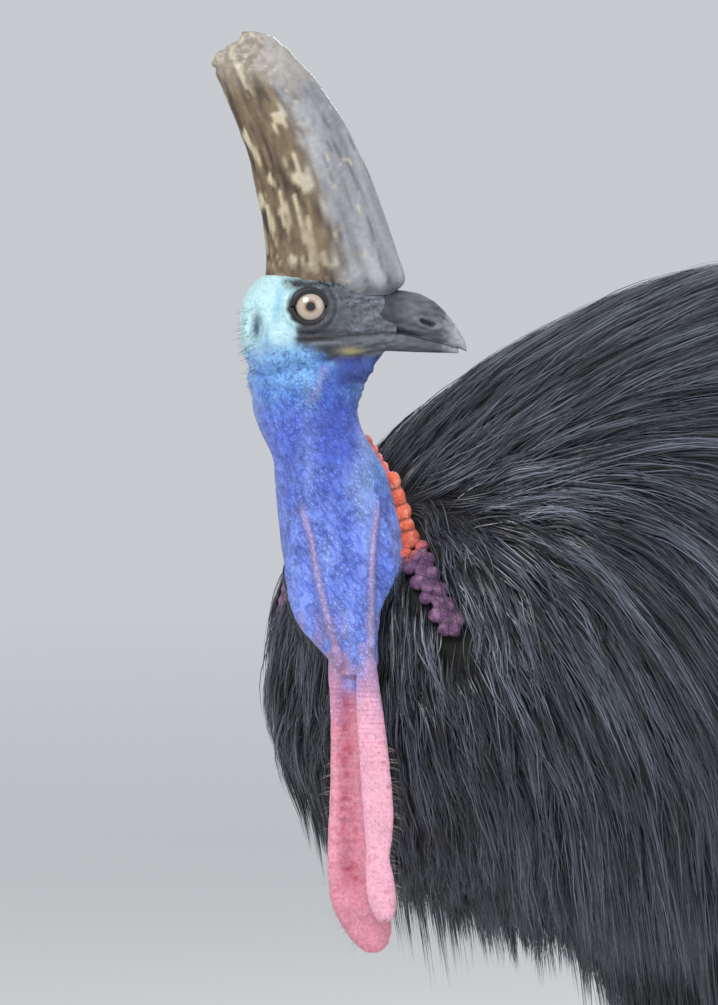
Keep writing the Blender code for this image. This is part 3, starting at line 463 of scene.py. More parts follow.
# level creases round the wattles, and a trough down the outer face of the right one
on_wattles = eased(-h, 284, 300)
creased = (f * 0.35, h, r * 0.35)
move += on_wattles * 0.55 * (0.6 - np.abs(grain(creased, 4.2, 6)))
middle_f, half_f = stations_at(RIGHT_WATTLE, -h, 0, 3)
on_right = eased(41 - r, 2, 7) * on_wattles
trough = hump((f - middle_f) / half_f, -0.05, 0.55) * on_right * eased(slopes @ RIGHT, 0.1, 0.5)
trough *= 1 - eased(-h, 462, 480)
move -= 5.0 * trough * (1 - 0.35 * np.abs(grain(creased, 6.0, 8)))
points = points + slopes * (move * MM)[:, None]
# the eye sockets
f, r, h = head_measures(points)
away = np.hypot(f - 0.5, h)
socket = (away < 14.2) & (np.abs(r) > 22) & (np.abs(h) < 30)
sink = np.where(socket, np.maximum(np.abs(r) - 24.0, 0) * (1 - eased(away, 12.8, 14.2)), 0)
points = points - np.multiply.outer(sink * np.sign(r) * MM, RIGHT)
set_points(bare, points)

PALE_AQUA, SKY = paint(186, 224, 228), paint(112, 170, 232)
NECK_BLUE, DEEP_BLUE = paint(128, 156, 246), paint(46, 76, 204)
VIOLET_BLUE, FACE_BLACK = paint(116, 144, 240), paint(44, 47, 55)
CREAM, PINK, ROSE = paint(196, 190, 160), paint(252, 184, 204), paint(232, 136, 160)
TROUGH_RED, BEAD_ORANGE = paint(178, 66, 92), paint(244, 112, 78)
BEAD_PURPLE, LIP_BLACK = paint(104, 62, 106), paint(12, 13, 16)


def laid_on(under, over, share):
    """One colour laid over another by a share."""
    share = np.clip(share, 0, 1)[:, None]
    return under * (1 - share) + over * share


def layered(colour, *layers):
    """A colour with others laid over it in turn, each given with its share."""
    for over, share in layers:
        colour = laid_on(colour, over, share)
    return colour


def near_path(points, path):
    """Distance in mm from points to a path, and where along it the nearest is."""
    spots = np.array([p for p, _ in path])
    best = np.full(len(points), 1e9)
    where = np.zeros(len(points))
    for k, spot in enumerate(spots):
        gap = np.linalg.norm(points - spot, axis=1)
        closer = gap < best
        best[closer] = gap[closer]
        where[closer] = k / (len(spots) - 1)
    return best / MM, where


def bead_gaps(points, beads):
    """Distances to the nearest bead and to the next one, in sizes of the bead."""
    nearest, following = np.full((2, len(points)), 9.0)
    close = (points[:, 2] > 0.74) & (points[:, 2] < 0.95)
    for spot, size in beads:
        gap = np.linalg.norm(points[close] - spot, axis=1) / size
        following[close] = np.minimum(following[close], np.maximum(nearest[close], gap))
        nearest[close] = np.minimum(nearest[close], gap)
    return nearest, following


def painted_skin(points):
    """The colour of the bare skin at points."""
    f, r, h = head_measures(points)
    soft, broad, tiny = (speckle(points, size * MM, seed) for size, seed in ((4, 21), (13, 22), (1.8, 23)))
    # the blue of the neck, paler and more violet above, with painted shade in its creases and sunk sags,
    # painted light on its swelling sags and down its front, and painted shade on its shadow side
    down = eased(-h + 4.0 * broad + 0.25 * (f + 40), 22, 58)
    lines = wrinkle_places(f, r, h)
    # painted shade: dark lines where the wrinkles crease, and finer ones between them
    crease_shade = eased(np.abs(grain(lines, 3.1, 2)), 0.30, 0.0)
    fine_crease_shade = eased(np.abs(grain(lines, 1.9, 26)), 0.26, 0.0)
    sagging = (f, h * 0.22, r)
    sag = grain(sagging, 15.0, 9)
    shadow_side = eased(-h, 40, 60) * (1 - eased(-h, 110, 150)) * hump(f, 24 - 0.02 * h, 22)
    colour = layered(
        PALE_AQUA,
        (SKY, down),
        (VIOLET_BLUE, eased(-h + 6 * broad, 62, 92)),
        (NECK_BLUE, eased(-h + 8 * broad, 110, 170)),
        (DEEP_BLUE, 0.24 * eased(broad, 0.0, 0.7) * down),
        (DEEP_BLUE * 0.75, 0.62 * crease_shade * down),
        (DEEP_BLUE * 0.8, 0.42 * fine_crease_shade * down),
        # painted shade where the sags sink into the neck, and painted light where they swell out
        (DEEP_BLUE, 0.28 * eased(-sag, 0.10, 0.8) * down),
        (paint(176, 202, 250), 0.45 * eased(sag, 0.1, 0.8) * down),
        # painted shade on the shadow side of the neck, and painted light paler down its front
        (DEEP_BLUE * 0.8, 0.55 * shadow_side),
        (SKY, 0.5 * eased(f, 34, 58) * eased(-h, 60, 80) * (1 - eased(-h, 130, 160))),
    )
    # black mask from the lores back under the eye and over the brow
    jaw = 27 + 0.42 * np.clip(f + 14, 0, 34)
    mask = eased(f + 0.18 * h + 3.5 * soft, -20, -12)
    mask *= (1 - eased(h + 2.5 * soft, 13, 24)) * (1 - eased(-h + 3.5 * soft, jaw - 2, jaw + 7))
    round_eye = 1 - eased(np.hypot(f, h / 0.95) + soft, 15.5, 19)
    brow = eased(f + 3 * soft, -24, -12) * hump(h + 1.5 * soft, 17.5 - 0.04 * f, 5.0)
    mask = np.maximum(mask * eased(f - 0.5 * h + 2 * soft, -8, 4), np.maximum(brow, round_eye))
    # painted highlight: the black of the lores is lit grey in fine streaks, most towards the front
    highlight_streaks = grain((f * 0.20, h - 0.10 * f, r * 0.4), 1.9, 24)
    lit = (0.15 + 0.85 * eased(f, 10, 44)) * (0.55 + 0.5 * highlight_streaks + 0.25 * tiny)
    lip = -25.6 + 0.07 * np.clip(f, 0, 60)
    face = layered(
        FACE_BLACK,
        (paint(120, 125, 136), lit),
        (paint(146, 152, 162), 0.5 * hump(h, lip - 4.2, 1.5) * eased(f, -12, 6)),
        (LIP_BLACK, 0.9 * hump(h, lip, 1.1) * eased(f, -18, -12)),
        (LIP_BLACK, 0.6 * hump(h, lip + 4.6 + 0.06 * f, 0.9) * (1 - eased(f, 14, 30))),
        (paint(22, 24, 30), 0.85 * (1 - eased(np.hypot(f, h), 14.5, 19))),
    )
    # the ear with painted shade in its hollow, spots and fringe of the crown, the gape's pale mark, and
    # folds of jaw and cheek, the cheek's puckers darkened with painted shade
    ear = blot(f + 0.8 * soft, -41.5, 3.4, h, -17, 11) * (np.abs(r) > 12)
    spots = eased(tiny + 0.5 * soft, 0.45, 0.85) * (1 - eased(-h, 34, 46))
    fold = eased(f, 14, 26) * (1 - eased(f, 52, 60)) * eased(-h, 38, 44) * (1 - eased(-h, 58, 68))
    ridge = hump(f, 14 - (-h - 44) * 0.34, 3.4) * eased(-h, 42, 52) * (1 - eased(-h, 68, 84))
    cheek = eased(f, -38, -28) * (1 - eased(f, 2, 12))
    cheek = cheek * eased(-h + 2 * soft, 28, 36) * (1 - eased(-h, 56, 70))
    pucker_shade = eased(np.abs(grain((f, h * 1.3, r), 3.4, 25)), 0.22, 0.0)
    colour = layered(
        colour,
        (face, mask),
        (paint(120, 178, 220), 0.7 * blot(f - 0.1 * h, -25, 3.0, h, 2, 16)),
        # painted shade in the sunk hollow of the ear
        (paint(40, 66, 104), 0.95 * ear),
        (paint(96, 150, 190), 0.7 * blot(f, -33.5, 2.0, h, -24, 11)),
        (paint(120, 178, 200), 0.5 * spots * (1 - mask)),
        (CREAM, 0.8 * eased(h, 22, 27)),
        (paint(176, 168, 118), 1.2 * blot(f, 34, 9, h, -36, 3.0)),
        (paint(40, 58, 140), 0.85 * fold),
        (paint(172, 158, 196), 0.7 * ridge * (0.6 + 0.5 * tiny)),
        (paint(132, 192, 240), 0.45 * cheek),
        # painted shade in the puckers of the cheek
        (paint(40, 58, 128), 0.75 * cheek * pucker_shade),
    )
    # the two ropes, dashed with mauve
    for line in ROPES:
        beside = np.interp(-h, [-row[1] for row in line], [row[0] for row in line])
        on_rope = hump(f, beside, 3.4) * eased(-h, 150, 166) * (r > -20)
        crest = hump(f, beside, 1.6) * eased(-h, 156, 176) * (r > -20) * (-h < 288)
        dash = 0.78 + 0.30 * np.sin(h * 2.1 + 1.5 * soft)
        colour = layered(
            colour,
            (paint(166, 152, 196), 0.80 * dash * on_rope * (1 - eased(-h, 282, 292))),
            (paint(206, 172, 196), 0.5 * crest),
        )
    # the wattles, blue grey at their tops and pink below, with a red trough and fine dark dots
    turning = eased(-h + 16 * broad, 268, 345) * (r > 8)
    edge = eased(-h + 10 * broad, 225, 290) * (r > 8) * eased(np.abs(grain(sagging, 7.0, 12)), 0.1, 0.5)
    near = eased(r, 34, 40)
    rib = eased(np.sin(h * 1.7 + 2 * soft), 0.2, 0.9) * (1 - eased(-h, 330, 400))
    wattle_pink = layered(
        ROSE,
        (PINK, near),
        (PINK, 0.5 + 0.5 * tiny),
        (ROSE * 0.75, 0.55 * eased(soft, 0.25, 0.8)),
        (ROSE * 0.8, 0.45 * eased(-h, 430, 490) * (1 - near)),
        (ROSE * 0.7, 0.4 * rib),
    )
    middle, half = stations_at(RIGHT_WATTLE, -h, 0, 3)
    inside = hump((f - middle) / half, -0.05, 0.5) * eased(39 - r, 2, 7) * eased(-h, 286, 302)
    colour = layered(
        colour,
        (paint(178, 142, 180), 0.8 * edge),
        (wattle_pink, turning),
        (TROUGH_RED, 0.75 * inside * (1 - eased(-h, 458, 478)) * (0.7 + 0.5 * soft)),
        (paint(120, 84, 120), 0.5 * eased(tiny, 0.55, 0.8) * turning),
    )
    # the beaded bands and nape, with painted shade darkening the creases between the beads
    from_bead, next_bead = bead_gaps(points, bead_spots)
    from_nape, _ = bead_gaps(points, nape_spots)
    crevice_shade = eased(from_bead / next_bead, 0.80, 0.97)
    for path in (band_path, mirror_path):
        gap, where = near_path(points, path)
        on = np.maximum(1 - eased(gap + soft, 8, 10), (gap < 22) * (1 - eased(from_bead, 1.15, 1.4)))
        bead = layered(
            BEAD_ORANGE,
            (BEAD_PURPLE, eased(where + 0.08 * broad, 0.42, 0.55)),
            (paint(250, 168, 146), 0.7 * eased(soft, 0.0, 0.7) * (where < 0.45)),
            (paint(158, 116, 150), 0.7 * eased(soft, -0.2, 0.6) * (where > 0.5)),
        )
        # painted shade: each bead's colour darkened in the creases between the beads
        colour = laid_on(colour, bead * (1 - 0.72 * crevice_shade)[:, None], on)
    nape_colour = laid_on(BEAD_ORANGE, ROSE, 0.5 + 0.5 * soft)
    colour = laid_on(colour, nape_colour, 1 - eased(from_nape, 1.25, 1.6))
    return colour * (1 + 0.10 * soft + 0.06 * tiny)[:, None]


def tinted(mesh, colours, name="skin_colour"):
    """Writes a colour for each point of a mesh."""
    layer = mesh.color_attributes.new(name, "FLOAT_COLOR", "POINT")
    values = np.ones((len(mesh.vertices), 4), np.float32)
    values[:, :3] = np.clip(colours, 0, 1)
    layer.data.foreach_set("color", values.ravel())


def stored_share(mesh, name, values):
    """Writes a share for each point of a mesh."""
    layer = mesh.attributes.new(name, "FLOAT", "POINT")
    layer.data.foreach_set("value", np.clip(values, 0, 1).astype(np.float32))


class Paintwork:
    """A new material and short ways to put nodes in it."""

    def __init__(self, name, roughness, **levels):
        self.material = bpy.data.materials.new(name)
        self.material.use_nodes = True
        self.tree = self.material.node_tree
        self.shader = self.tree.nodes["Principled BSDF"]
        self.shader.inputs["Roughness"].default_value = roughness
        for key, value in levels.items():
            self.shader.inputs[key.replace("_", " ")].default_value = value

    def node(self, kind, inputs=(), **settings):
        made = self.tree.nodes.new(kind)
        for key, value in settings.items():
            setattr(made, key, value)
        for key, value in dict(inputs).items():
            if isinstance(value, bpy.types.NodeSocket):
                self.tree.links.new(value, made.inputs[key])
            else:
                made.inputs[key].default_value = value
        return made

    def join(self, output, socket):
        self.tree.links.new(output, self.shader.inputs[socket])

    def place(self):
        return self.node("ShaderNodeTexCoord").outputs["Object"]

    def noise(self, scale, detail=4.0, roughness=0.55, place=None):
        return self.node("ShaderNodeTexNoise", {"Vector": place or self.place(), "Scale": scale,
                                                "Detail": detail, "Roughness": roughness}).outputs["Fac"]

    def cells(self, scale, feature="F1", place=None):
        return self.node("ShaderNodeTexVoronoi", {"Vector": place or self.place(), "Scale": scale},
                         feature=feature).outputs["Distance"]

    def span(self, value, low, high, to_low, to_high):
        return self.node("ShaderNodeMapRange", {"Value": value, "From Min": low, "From Max": high,
                                                "To Min": to_low, "To Max": to_high}).outputs["Result"]

    def grey(self, value):
        return self.node("ShaderNodeCombineColor", {"Red": value, "Green": value, "Blue": value}).outputs[0]

    def times(self, first, second):
        return self.node("ShaderNodeMath", {0: first, 1: second}, operation="MULTIPLY").outputs[0]

    def vector(self, operation, first, second):
        return self.node("ShaderNodeVectorMath", {0: first, 1: second}, operation=operation).outputs[0]

    def mapped(self, place, **change):
        return self.node("ShaderNodeMapping", {"Vector": place, **change}).outputs[0]

    def cloudy(self, low, high, scale, detail=4.0):
        """Noise, with its middle values spread from low to high."""
        return self.span(self.noise(scale, detail), 0.3, 0.7, low, high)

    def blend(self, kind, share, first, second):
        made = self.node("ShaderNodeMix", data_type="RGBA", blend_type=kind)
        for key, value in ((0, share), (6, first), (7, second)):
            if isinstance(value, bpy.types.NodeSocket):
                self.tree.links.new(value, made.inputs[key])
            elif key:
                made.inputs[key].default_value = (*value, 1.0)
            else:
                made.inputs[key].default_value = value
        return made.outputs[2]

    def stored(self, name, output="Color"):
        return self.node("ShaderNodeAttribute", attribute_name=name).outputs[output]

    def bumps(self, *heights):
        """Raises the surface by each height, given as value, strength and depth in metres."""
        normal = None
        for value, strength, depth in heights:
            inputs = {"Height": value, "Strength": strength, "Distance": depth}
            if normal:
                inputs["Normal"] = normal
            normal = self.node("ShaderNodeBump", inputs).outputs["Normal"]
        self.join(normal, "Normal")


def bare_skin_paint():
    """Matt, pebbled skin, with painted light on the tops of its pebbles and painted shade in the cracks
    between them.
    """
    work = Paintwork("bare_skin", 0.5, Specular_IOR_Level=0.5, Sheen_Weight=0.12)
    pebbly = work.stored("pebbly", "Fac")
    # pebbles lean with the wrinkles of the neck, and are pulled out of true
    level = work.mapped(work.place(), Rotation=(0, 0, -HEAD_TURN))
    leaning = work.mapped(level, Rotation=(0, math.radians(37), 0))
    drift = work.node("ShaderNodeTexNoise", {"Vector": leaning, "Scale": 210.0, "Detail": 3.0})
    pull = work.vector("MULTIPLY", drift.outputs["Color"], (0.006, 0.006, 0.006))
    pebble_place = work.mapped(work.vector("ADD", leaning, pull), Scale=(1.0, 1.0, 0.42))
    # painted light and shade: each pebble lighter on its top and darker at its edges and in the cracks round
    # it
    pebble_light = work.span(work.cells(520, "F1", pebble_place), 0.05, 0.55, 1.30, 0.84)
    crack = work.span(work.cells(520, "DISTANCE_TO_EDGE", pebble_place), 0.0, 0.22, 0.0, 1.0)
    shade = work.times(pebble_light, work.span(crack, 0.0, 1.0, 0.72, 1.0))
    shade = work.times(shade, work.cloudy(0.80, 1.18, 95, 5.0))
    tone = work.blend("MIX", pebbly, work.grey(work.cloudy(0.84, 1.12, 420)), work.grey(shade))
    work.join(work.blend("MULTIPLY", 1.0, work.stored("skin_colour"), tone), "Base Color")
    work.join(work.cloudy(0.34, 0.60, 160), "Roughness")
    raised = work.times(crack, pebbly)
    work.bumps((work.noise(260, 6.0), 0.5, 0.0012), (raised, 0.8, 0.0007), (work.noise(1500), 0.3, 0.0002))
    return work.material


def undercoat_paint():
    """Dark skin and down beneath the plumage."""
    work = Paintwork("dark_underskin", 0.9)
    work.join(work.grey(work.cloudy(0.006, 0.016, 90)), "Base Color")
    work.bumps((work.noise(300), 0.5, 0.001))
    return work.material


def leg_scale_paint():
    """Horny leg skin: grey brown, in small close scales."""
    work = Paintwork("leg_scale", 0.55, Specular_IOR_Level=0.4)
    crack = work.span(work.cells(190, "DISTANCE_TO_EDGE"), 0.0, 0.09, 0.45, 1.0)
    # painted shade darkens the cracks between the scales
    tone = work.grey(work.times(crack, work.cloudy(0.8, 1.15, 60)))
    work.join(work.blend("MULTIPLY", 1.0, work.stored("skin_colour"), tone), "Base Color")
    work.join(work.cloudy(0.42, 0.68, 120), "Roughness")
    work.bumps((crack, 0.6, 0.0012), (work.noise(700), 0.3, 0.0003))
    return work.material


# the dark body and drumsticks, the shanks and the toes, cast with the rest
FOOT_AT = np.array((0.108, -0.010, 0.0))
# the right foot stands a stride behind the left, and its upper leg a part of that
STRIDE, UPPER_SHARE = 0.045, 0.55
HOCK = np.array((0.100, 0.085, 0.365))
KNEE = np.array((0.092, -0.050, 0.610))
# toes: turn outwards in degrees, where they start and end from the foot's middle, and half width
TOES = {"inner": (-24, 12, 84, 17), "middle": (3, 12, 142, 20.5), "outer": (32, 12, 104, 16.5)}
TOE_PLATES = {"inner": 8, "middle": 15, "outer": 10}
SHANK_PLATES = 17
# height of a toe's middle, in mm
TOE_MIDDLE = 9.5
# rows over the hock and the ankle: rise in metres, half width, half depth and shift in mm
HOCK_ROWS = [(0.052, 26, 22), (0.034, 30, 30), (0.012, 33, 36), (-0.014, 31, 35), (-0.038, 25, 27)]
ANKLE_ROWS = [(0.040, 24, 27, 0.0), (0.026, 30, 31, -3), (0.012, 32, 33, -4), (0.0, 28, 30, -4)]


def foot_at(side):
    """Where a foot stands; side is 1 for the left and -1 for the right."""
    back = 0.0 if side > 0 else STRIDE
    return np.array((FOOT_AT[0] * side, FOOT_AT[1] + back + SET_BACK, 0.0))


def leg_point(side, point):
    """A point of the left leg, moved to the side asked for."""
    back = 0.0 if side > 0 else STRIDE * UPPER_SHARE
    return np.array((point[0] * side, point[1] + back + SET_BACK, point[2]))


def drumstick_rings(side, count, sides, shrink):
    """The drumstick from inside the body to the hock."""
    knee, hock = leg_point(side, KNEE), leg_point(side, HOCK)
    way = unit(hock - knee)
    front = unit(np.cross(X, way))
    across = np.cross(way, front)
    rows = [(0.0, 78, 92), (0.25, 76, 88), (0.5, 64, 72), (0.72, 50, 55), (0.88, 40, 43), (0.96, 34, 36)]
    rings = []
    for share, wide, deep in smooth_rows(rows, count):
        wide, deep = (wide - shrink) * MM, (deep - shrink) * MM
        rings.append(egg_ring(knee + (hock - knee) * share, across, front, wide, deep, deep, sides))
    return rings


def plate_edge(share, count):
    """How proud a row of plates stands: full over each plate, with narrow grooves between."""
    t = (share * count) % 1.0
    return eased(t, 0.0, 0.10) * (1 - 0.35 * t) * (1 - eased(t, 0.93, 1.0))


def shank_rings(side):
    """The shank, with broad plates down its front."""
    hock, foot = leg_point(side, HOCK), foot_at(side)
    foot_top = foot + np.array((0, 0.010, 0.040))
    rows = [(*(hock + UP * rise), wide, deep) for rise, wide, deep in HOCK_ROWS]
    for share in (0.14, 0.3, 0.5, 0.7, 0.86):
        waist = math.sin(math.pi * share)
        rows.append((*(hock + (foot_top - hock) * share), 21 - 2.5 * waist, 25 - 4 * waist))
    for rise, wide, deep, shift in ANKLE_ROWS:
        rows.append((*(foot + np.array((0, 0.010 + shift * MM, rise))), wide, deep))
    rings = []
    for x, y, z, wide, deep in smooth_rows(rows, 230):
        middle = np.array((x, y, z))
        ring = egg_ring(middle, X, -Y, (wide - 0.8) * MM, (deep - 0.4) * MM, deep * MM, 40)
        out = units(ring - middle)
        facing = eased(-out[:, 1], 0.25, 0.6)
        proud = 2.2 * plate_edge((z - 0.02) / 0.37, SHANK_PLATES) * facing * (0.02 < z < 0.41)
        rings.append(ring + out * (proud * MM)[:, None])
    return rings


def toe_axes(side, turn):
    """The way that a toe points, and the way across it."""
    angle = math.radians(turn) * side
    way = np.array((math.sin(angle), -math.cos(angle), 0.0))
    return way, np.array((-way[1], way[0], 0.0))


def toe_rings(side, kind):
    """A padded toe with plates along its top."""
    turn, start, end, half = TOES[kind]
    way, across = toe_axes(side, turn)
    foot = foot_at(side)
    rings = []
    for share in np.linspace(0.0, 1.06, 90):
        inner = min(share, 1.0)
        close = math.sqrt(max(0.02, 1 - (max(share - 0.94, 0) / 0.125) ** 2))
        middle = foot + way * ((start + (end - start) * share) * MM) + UP * TOE_MIDDLE * MM
        pad = 1 + 0.10 * math.sin(math.pi * 3 * inner)
        wide = half * (1.06 - 0.22 * inner) * pad * 0.98 * close
        high = (half * (1.75 - 0.62 * inner) - TOE_MIDDLE) * close
        ring = egg_ring(middle, across, UP, wide * MM, high * MM, 10.5 * MM * close, 32, 2.3)
        out = units(ring - middle)
        facing = eased(out[:, 2], 0.3, 0.65)
        proud = 1.7 * float(plate_edge(inner, TOE_PLATES[kind])) * facing * (share < 0.97)
        ring = ring + out * (proud * MM)[:, None]
        ring[:, 2] = np.maximum(ring[:, 2], 0.0)
        rings.append(ring)
    return rings


under = Cast()
under.loft(body_sections(60, 64, 0.006), 1)
for leg in (1, -1):
    under.loft(drumstick_rings(leg, 20, 40, 5), 1)
legs_start = under.count
for leg in (1, -1):
    under.loft(shank_rings(leg), 2)
    for kind in TOES:
        under.loft(toe_rings(leg, kind), 2)
# the lids, a dark upper and lower rim round each eye
LID_WIDE, LID_HIGH = 13.9 * MM, 13.2 * MM
lids_start = under.count
for eye_side in (1, -1):
    centre = head_place(0.5, eye_side * 32.0, 0)
    out = unit(RIGHT * eye_side + FORWARD * 0.18)
    along = np.cross(UP, out)
    for first, last, fat in ((0.02, 0.98, 1.15), (1.02, 1.98, 0.9)):
        angle = np.linspace(first, last, 40) * math.pi
        lid = centre + (np.multiply.outer(LID_WIDE * np.cos(angle), along)
                        + np.multiply.outer(LID_HIGH * np.sin(angle), UP))
        bulk = (1.1 + 1.5 * np.sin(np.linspace(0, math.pi, 40)) ** 0.6) * fat * MM
        under.loft(pipe_rings(lid, bulk, 14, out))
rest_of_skin = under.piece("rest_of_skin")

joined = bmesh.new()
joined.from_mesh(bare)
joined.from_mesh(rest_of_skin.data)
skin_mesh = bpy.data.meshes.new("skin")
joined.to_mesh(skin_mesh)
joined.free()
bare_count = len(bare.vertices)
for material in (bare_skin_paint(), undercoat_paint(), leg_scale_paint()):
    skin_mesh.materials.append(material)
bpy.data.objects.remove(rest_of_skin)
skin_points = read_points(skin_mesh)
colours = painted_skin(skin_points)
LEG_GREY, LEG_DARK = paint(128, 118, 98), paint(74, 68, 58)
leg_part = slice(bare_count + legs_start, bare_count + lids_start)
leg_tone = speckle(skin_points[leg_part], 12 * MM, 31)
colours[leg_part] = laid_on(LEG_GREY, LEG_DARK, 0.5 + 0.5 * leg_tone)
colours[bare_count + lids_start:] = paint(26, 28, 34)
tinted(skin_mesh, colours)
f, r, h = head_measures(skin_points)
pebbled = 0.20 + 0.80 * eased(-h, 36, 70)
pebbled *= 1 - 0.60 * eased(-h, 280, 320)
pebbled *= 0.75 + 0.5 * speckle(skin_points, 9 * MM, 33)
stored_share(skin_mesh, "pebbly", pebbled)
skin = put_in_scene("skin", skin_mesh)
skin_mesh.shade_smooth()
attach(skin, "root")
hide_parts("head", "neck_upper", "neck_lower", "wattle_left", "wattle_right", "caruncles_left",
            "caruncles_right", "nape_caruncles", "torso", "tail", "thigh_left", "thigh_right",
            "shank_left", "shank_right",
            *[f"toe_{kind}_{leg}" for kind in TOES for leg in ("left", "right")])

# Casque: a tall blade of spongy bone in a thin horny sheath, smooth and grey in front, brown and
# flaking behind, chipped along its broken top. It grows from the crown.

# stations up the casque: height, back, front and half thickness, in mm from the eyes
CASQUE = [
    (8, -31, 67, 18), (20, -35, 77, 21), (40, -34.5, 71.5, 19.5), (66, -37, 63, 18), (98, -43.5, 51.5, 16.5),
    (122, -49, 41, 15.5), (146, -58, 29, 14.5), (165, -66, 16.5, 13), (184, -74, 3, 11),
    (197, -76, -10, 9), (209, -60, -22, 7.5), (217, -54, -34, 5),
]
casque_cast = Cast()
casque_rings = []
for h, back, front, half in smooth_rows(CASQUE, 130):
    lean = 0.00012 * max(0.0, h - 20) ** 2
    long = (front - back) / 2 * MM
    centre = head_place((back + front) / 2, -lean, h)
    casque_rings.append(egg_ring(centre, RIGHT, FORWARD, half * MM, long, long, 96, 2.2))
casque_cast.loft(casque_rings)
casque = casque_cast.piece("horn_casque")
points, slopes = read_points(casque.data), read_points(casque.data, "normal")
f, r, h = head_measures(points)
streak_place = np.stack((f * 0.9 + h * 0.32, r, h * 0.10 - f * 0.03), axis=1)
streak = speckle(streak_place, 3.6, 41)
flake = grain((f + h * 0.3, r, h * 0.30), 5.0, 42)
chip = speckle(points, 4.2 * MM, 43)
fibre = grain((f + h * 0.36, r, h * 0.16 - f * 0.05), 2.2, 49)
levels = [row[0] for row in CASQUE]
rear_f, edge_f = (np.interp(h, levels, [row[k] for row in CASQUE]) for k in (1, 2))
# the rear is worn to brown fibres, with pale flakes on them, and the top is ragged
across = (f - rear_f) / np.maximum(edge_f - rear_f, 1)
worn = 1 - eased(across + 0.07 * flake + 0.05 * fibre, 0.42, 0.66)
scale = eased(flake + 0.55 * fibre + 0.35 * streak, 0.22, 0.62) * (0.35 + 0.65 * eased(h, 30, 90))
move = worn * (0.50 * np.abs(streak) + 0.35 * fibre + 0.6 * scale) + (1 - worn) * 0.16 * streak
ragged = eased(h, 172, 200) * (1 - eased(across, 0.45, 0.9))
move += ragged * 2.6 * chip
move += eased(h, 192, 205) * 1.6 * speckle(points, 9 * MM, 44)
points = points + slopes * ((move - 0.3) * MM)[:, None]
set_points(casque.data, points)
CASQUE_GREY, CASQUE_PALE = paint(112, 113, 118), paint(176, 177, 182)
CASQUE_BROWN, CASQUE_CREAM = paint(74, 62, 48), paint(200, 188, 160)
soft = speckle(points, 16 * MM, 45)
brown = layered(
    CASQUE_BROWN,
    (paint(134, 114, 88), 0.45 + 0.6 * streak),
    (paint(46, 38, 32), 0.8 * eased(-speckle(streak_place, 2.6, 48), 0.10, 0.7)),
    (paint(150, 132, 106), 0.5 * eased(fibre, 0.1, 0.7)),
    (CASQUE_CREAM, 0.9 * scale),
)
# a pale line near the foot, where the horn meets the skin
line = hump(h + 2.5 * flake, 36 - 0.12 * f, 3.4) * eased(fibre + 0.4 * chip, -0.1, 0.6)
line = line * (1 - eased(across, 0.45, 0.75))
horn = layered(
    CASQUE_GREY,
    (CASQUE_PALE, 0.5 + 0.5 * speckle(streak_place, 6.0, 46)),
    (paint(74, 74, 80), 0.7 * eased(speckle(streak_place, 2.4, 47), 0.1, 0.8)),
    (paint(122, 110, 96), 0.5 * eased(soft + 0.3 * fibre, 0.2, 0.8) * (1 - eased(across, 0.6, 0.9))),
    (brown, worn),
    (CASQUE_CREAM, 0.6 * eased(chip + 0.5 * fibre, 0.72, 0.95) * (1 - worn)),
    (paint(176, 168, 156), 0.6 * eased(h + 8 * soft, 165, 200)),
    (CASQUE_CREAM, 0.75 * line),
    (paint(70, 72, 80), 0.5 * (1 - eased(h + 3 * soft, 12, 26)) * eased(across, 0.4, 0.6)),
)
tinted(casque.data, horn, "horn_colour")


def worn_horn_paint(name, shine):
    """Horn with fine grain along it and small scratches."""
    work = Paintwork(name, shine, Specular_IOR_Level=0.45)
    tone = work.grey(work.cloudy(0.86, 1.12, 240, 6.0))
    work.join(work.blend("MULTIPLY", 1.0, work.stored("horn_colour"), tone), "Base Color")
    work.join(work.cloudy(shine - 0.08, shine + 0.16, 90, 6.0), "Roughness")
    work.bumps((work.noise(520, 8.0), 0.4, 0.0006), (work.noise(70, 3.0), 0.2, 0.001))
    return work.material


casque.data.materials.append(worn_horn_paint("casque_sheath", 0.34))
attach(casque, "root")
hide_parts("casque")

# Bill: two horny sheaths over bone, ridged along the top, worn pale and cracked at the hooked tip,
# with an oval nostril through each side of the upper one.

# the line of the mouth: distance forward and height, in mm
MOUTH = [(-20, -25), (-5, -26), (8, -26), (20, -24.5), (38, -22.6), (61, -21.1), (75, -22.6),
         (90, -26.2), (105, -30), (120, -34.4), (128, -38)]


def mouth_line(f):
    """Height of the line of the mouth along the bill."""
    return np.interp(f, [row[0] for row in MOUTH], [row[1] for row in MOUTH])


def bill_ring(f, top, bottom, half, widest, sides, keel):
    """A ring across the bill, narrower above than at the line of the mouth."""
    middle = bottom + (top - bottom) * widest
    angle = 2 * math.pi * (np.arange(sides) + 0.5) / sides
    c, s = np.cos(angle), np.sin(angle)
    reach = np.where(s > 0, top - middle, middle - bottom)
    narrow = 1 - keel * np.maximum(0.0, s)
    return head_place(np.full(sides, f), half * c * narrow, middle + reach * s)


# stations along each bill: distance forward, top or bottom, and half width, in mm
UPPER_BILL = [(46, 13.7, 18.6), (64, 12.5, 17), (78, 11.5, 14.5), (90, 9, 12), (101, 2.5, 9.5),
              (111, -7.5, 7.2), (119, -18.5, 5.2), (124.5, -28, 3.2), (126.3, -36.5, 1.0)]
LOWER_BILL = [(34, -39, 17), (48, -38, 15), (60, -37, 13), (80, -37.5, 10), (96, -38, 7.5),
              (109, -38.5, 5), (117, -38.8, 3), (119.5, -38.6, 1.0)]
BILL_DARK, BILL_GREY, BILL_PALE = paint(60, 62, 68), paint(112, 114, 120), paint(178, 178, 182)

